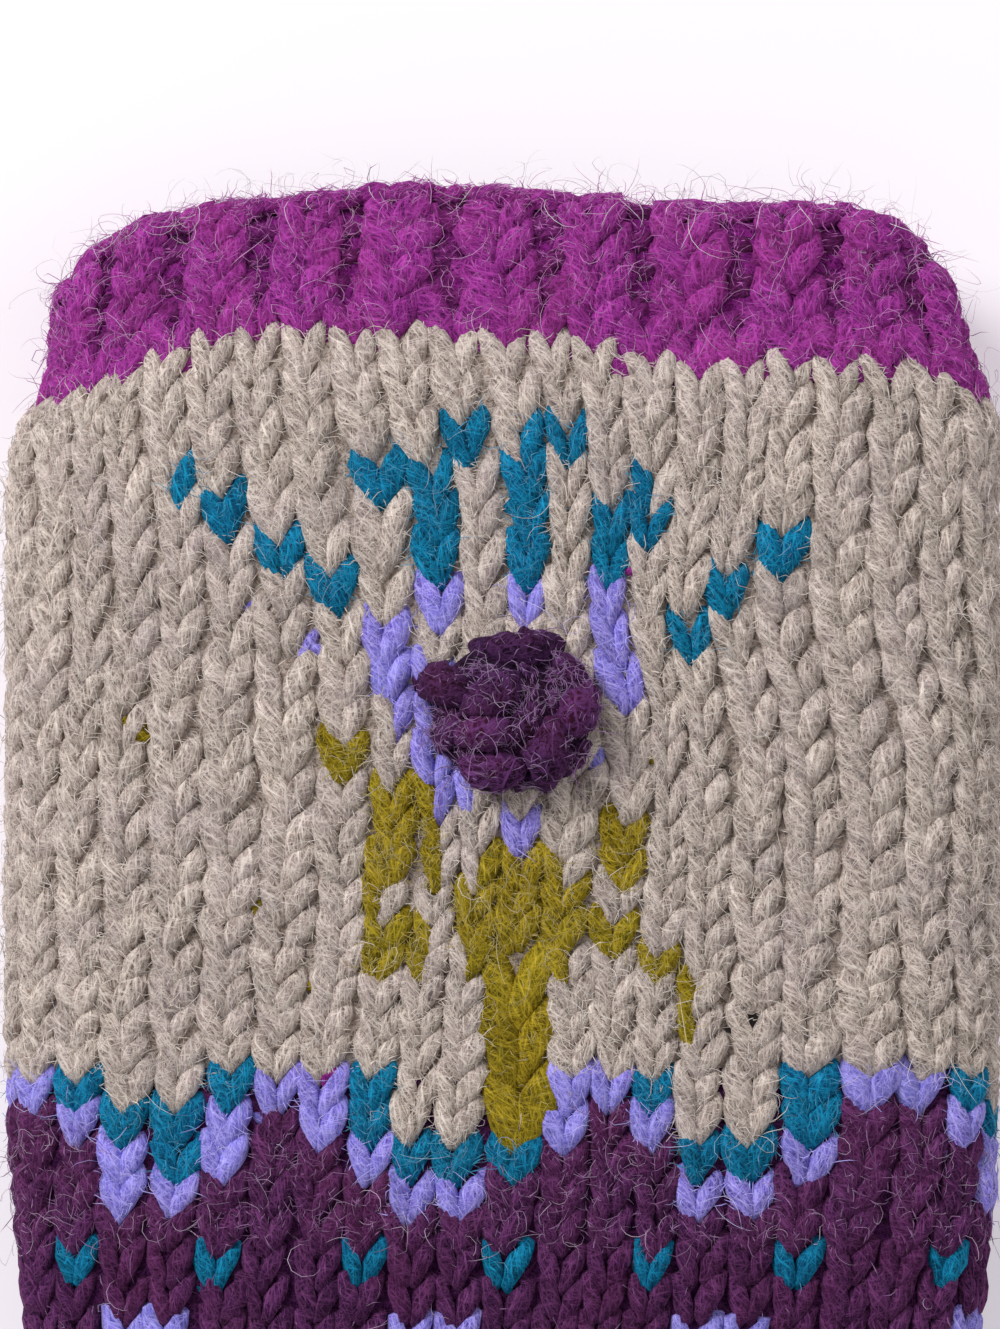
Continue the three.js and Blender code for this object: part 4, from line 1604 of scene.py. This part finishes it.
class Halo(bpy.types.Operator):
    """Adds the nap and the long curled fibres"""

    bl_idname = "mitten.halo"
    bl_label = "Halo of fibres"

    def execute(self, context):
        rng = np.random.default_rng(SEED + 6)
        share = context.scene.mitten_sizes.fuzz
        for colour, wool, *amounts in HALO:
            for kind, counts in zip(HAIR_KINDS, amounts):
                parts = [
                    halo_part(colour, fine, int(count * share), kind, rng)
                    for fine, count in zip((True, False), counts)
                ]
                parts = [part for part in parts if part]
                if parts:
                    fuzz = fuzz_of(colour, pale=kind[0] == "hairs")
                    hairs = make_piece(f"{colour}_{kind[0]}", parts, fuzz)
                    # they are thicker than real fibres, which hardly cast a shadow
                    hairs.visible_shadow = False
        return {"FINISHED"}


# The camera looks straight down, and its view has this middle and height at the back of the hand.
VIEW_CENTRE = (-0.3, 45.65)
VIEW_HEIGHT = 131.6
SENSOR = 36.0
FACE_HEIGHT = 22.0
# The lights, in metres and watts, and where they point.
LIGHTS = (
    # name, place, side, power
    ("soft_box_left", (-0.65, 0.62, 0.72), 0.45, 11.5),
    ("soft_box_right", (0.8, 0.1, 0.7), 0.8, 2.6),
)
LIT_PLACE = (0, 0.03, 0)
DAYLIGHT = 0.38
PAPER = "#D0CCD0"
PAPER_GLOW = 0.36


class Stage(bpy.types.Operator):
    """Makes the pale floor, the soft lights and the camera"""

    bl_idname = "mitten.stage"
    bl_label = "Stage"

    def execute(self, context):
        sizes = context.scene.mitten_sizes
        bpy.ops.object.select_all(action="DESELECT")
        bpy.ops.mesh.primitive_plane_add(size=sizes.floor, location=(0, 0, 0))
        floor = context.object
        floor.name = "floor"
        paper = new_material("white_paper")
        shader = add_node(
            paper.node_tree,
            "ShaderNodeBsdfPrincipled",
            sockets={
                "Base Color": (*linear(PAPER), 1),
                "Roughness": 0.9,
                "Emission Color": (1, 0.92, 1, 1),
                "Emission Strength": PAPER_GLOW,
            },
        )
        add_node(paper.node_tree, "ShaderNodeOutputMaterial", sockets={"Surface": shader.outputs["BSDF"]})
        floor.data.materials.append(paper)
        for name, place, size, power in LIGHTS:
            bpy.ops.object.light_add(type="AREA", location=place)
            light = context.object
            light.name = name
            light.data.size = size
            light.data.energy = power
            aim = Vector(LIT_PLACE) - Vector(place)
            light.rotation_mode = "QUATERNION"
            light.rotation_quaternion = aim.to_track_quat("-Z", "Y")
        world = bpy.data.worlds.new("soft_daylight")
        world.use_nodes = True
        sky = world.node_tree.nodes["Background"].inputs
        sky["Color"].default_value = (1, 1, 1, 1)
        sky["Strength"].default_value = DAYLIGHT
        context.scene.world = world
        bpy.ops.object.camera_add(rotation=(0, 0, 0))
        camera = context.object
        camera.name = "overhead_camera"
        camera.data.lens = sizes.lens
        camera.data.sensor_width = SENSOR
        distance = VIEW_HEIGHT * sizes.lens / SENSOR + FACE_HEIGHT
        camera.location = (VIEW_CENTRE[0] * MM, VIEW_CENTRE[1] * MM, distance * MM)
        camera.data.clip_start = 0.01
        context.scene.camera = camera
        context.scene.view_settings.view_transform = "Standard"
        return {"FINISHED"}


MAKERS = (FeltWalls, Ribs, Hand, ThumbEdge, Bobble, Band, Specks, Halo, Stage)


class MittenPanel(bpy.types.Panel):
    """Lists the makers of the mitten's pieces"""

    bl_idname = "VIEW3D_PT_mitten"
    bl_label = "Fingerless Mitten"
    bl_space_type = "VIEW_3D"
    bl_region_type = "UI"
    bl_category = "Mitten"

    def draw(self, context):
        for group in (context.scene.mitten_colours, context.scene.mitten_sizes):
            for key in group.__annotations__:
                self.layout.prop(group, key)
        for maker in MAKERS:
            self.layout.operator(maker.bl_idname)


CLASSES = (MittenColours, MittenSizes, *MAKERS, MittenPanel)


def register():
    for cls in CLASSES:
        bpy.utils.register_class(cls)
    bpy.types.Scene.mitten_colours = PointerProperty(type=MittenColours)
    bpy.types.Scene.mitten_sizes = PointerProperty(type=MittenSizes)


def unregister():
    del bpy.types.Scene.mitten_sizes
    del bpy.types.Scene.mitten_colours
    for cls in reversed(CLASSES):
        bpy.utils.unregister_class(cls)


def main():
    register()
    for maker in MAKERS:
        group, name = maker.bl_idname.split(".")
        if getattr(getattr(bpy.ops, group), name)() != {"FINISHED"}:
            raise RuntimeError(f"{maker.bl_label} didn't finish")


if __name__ == "__main__":
    main()
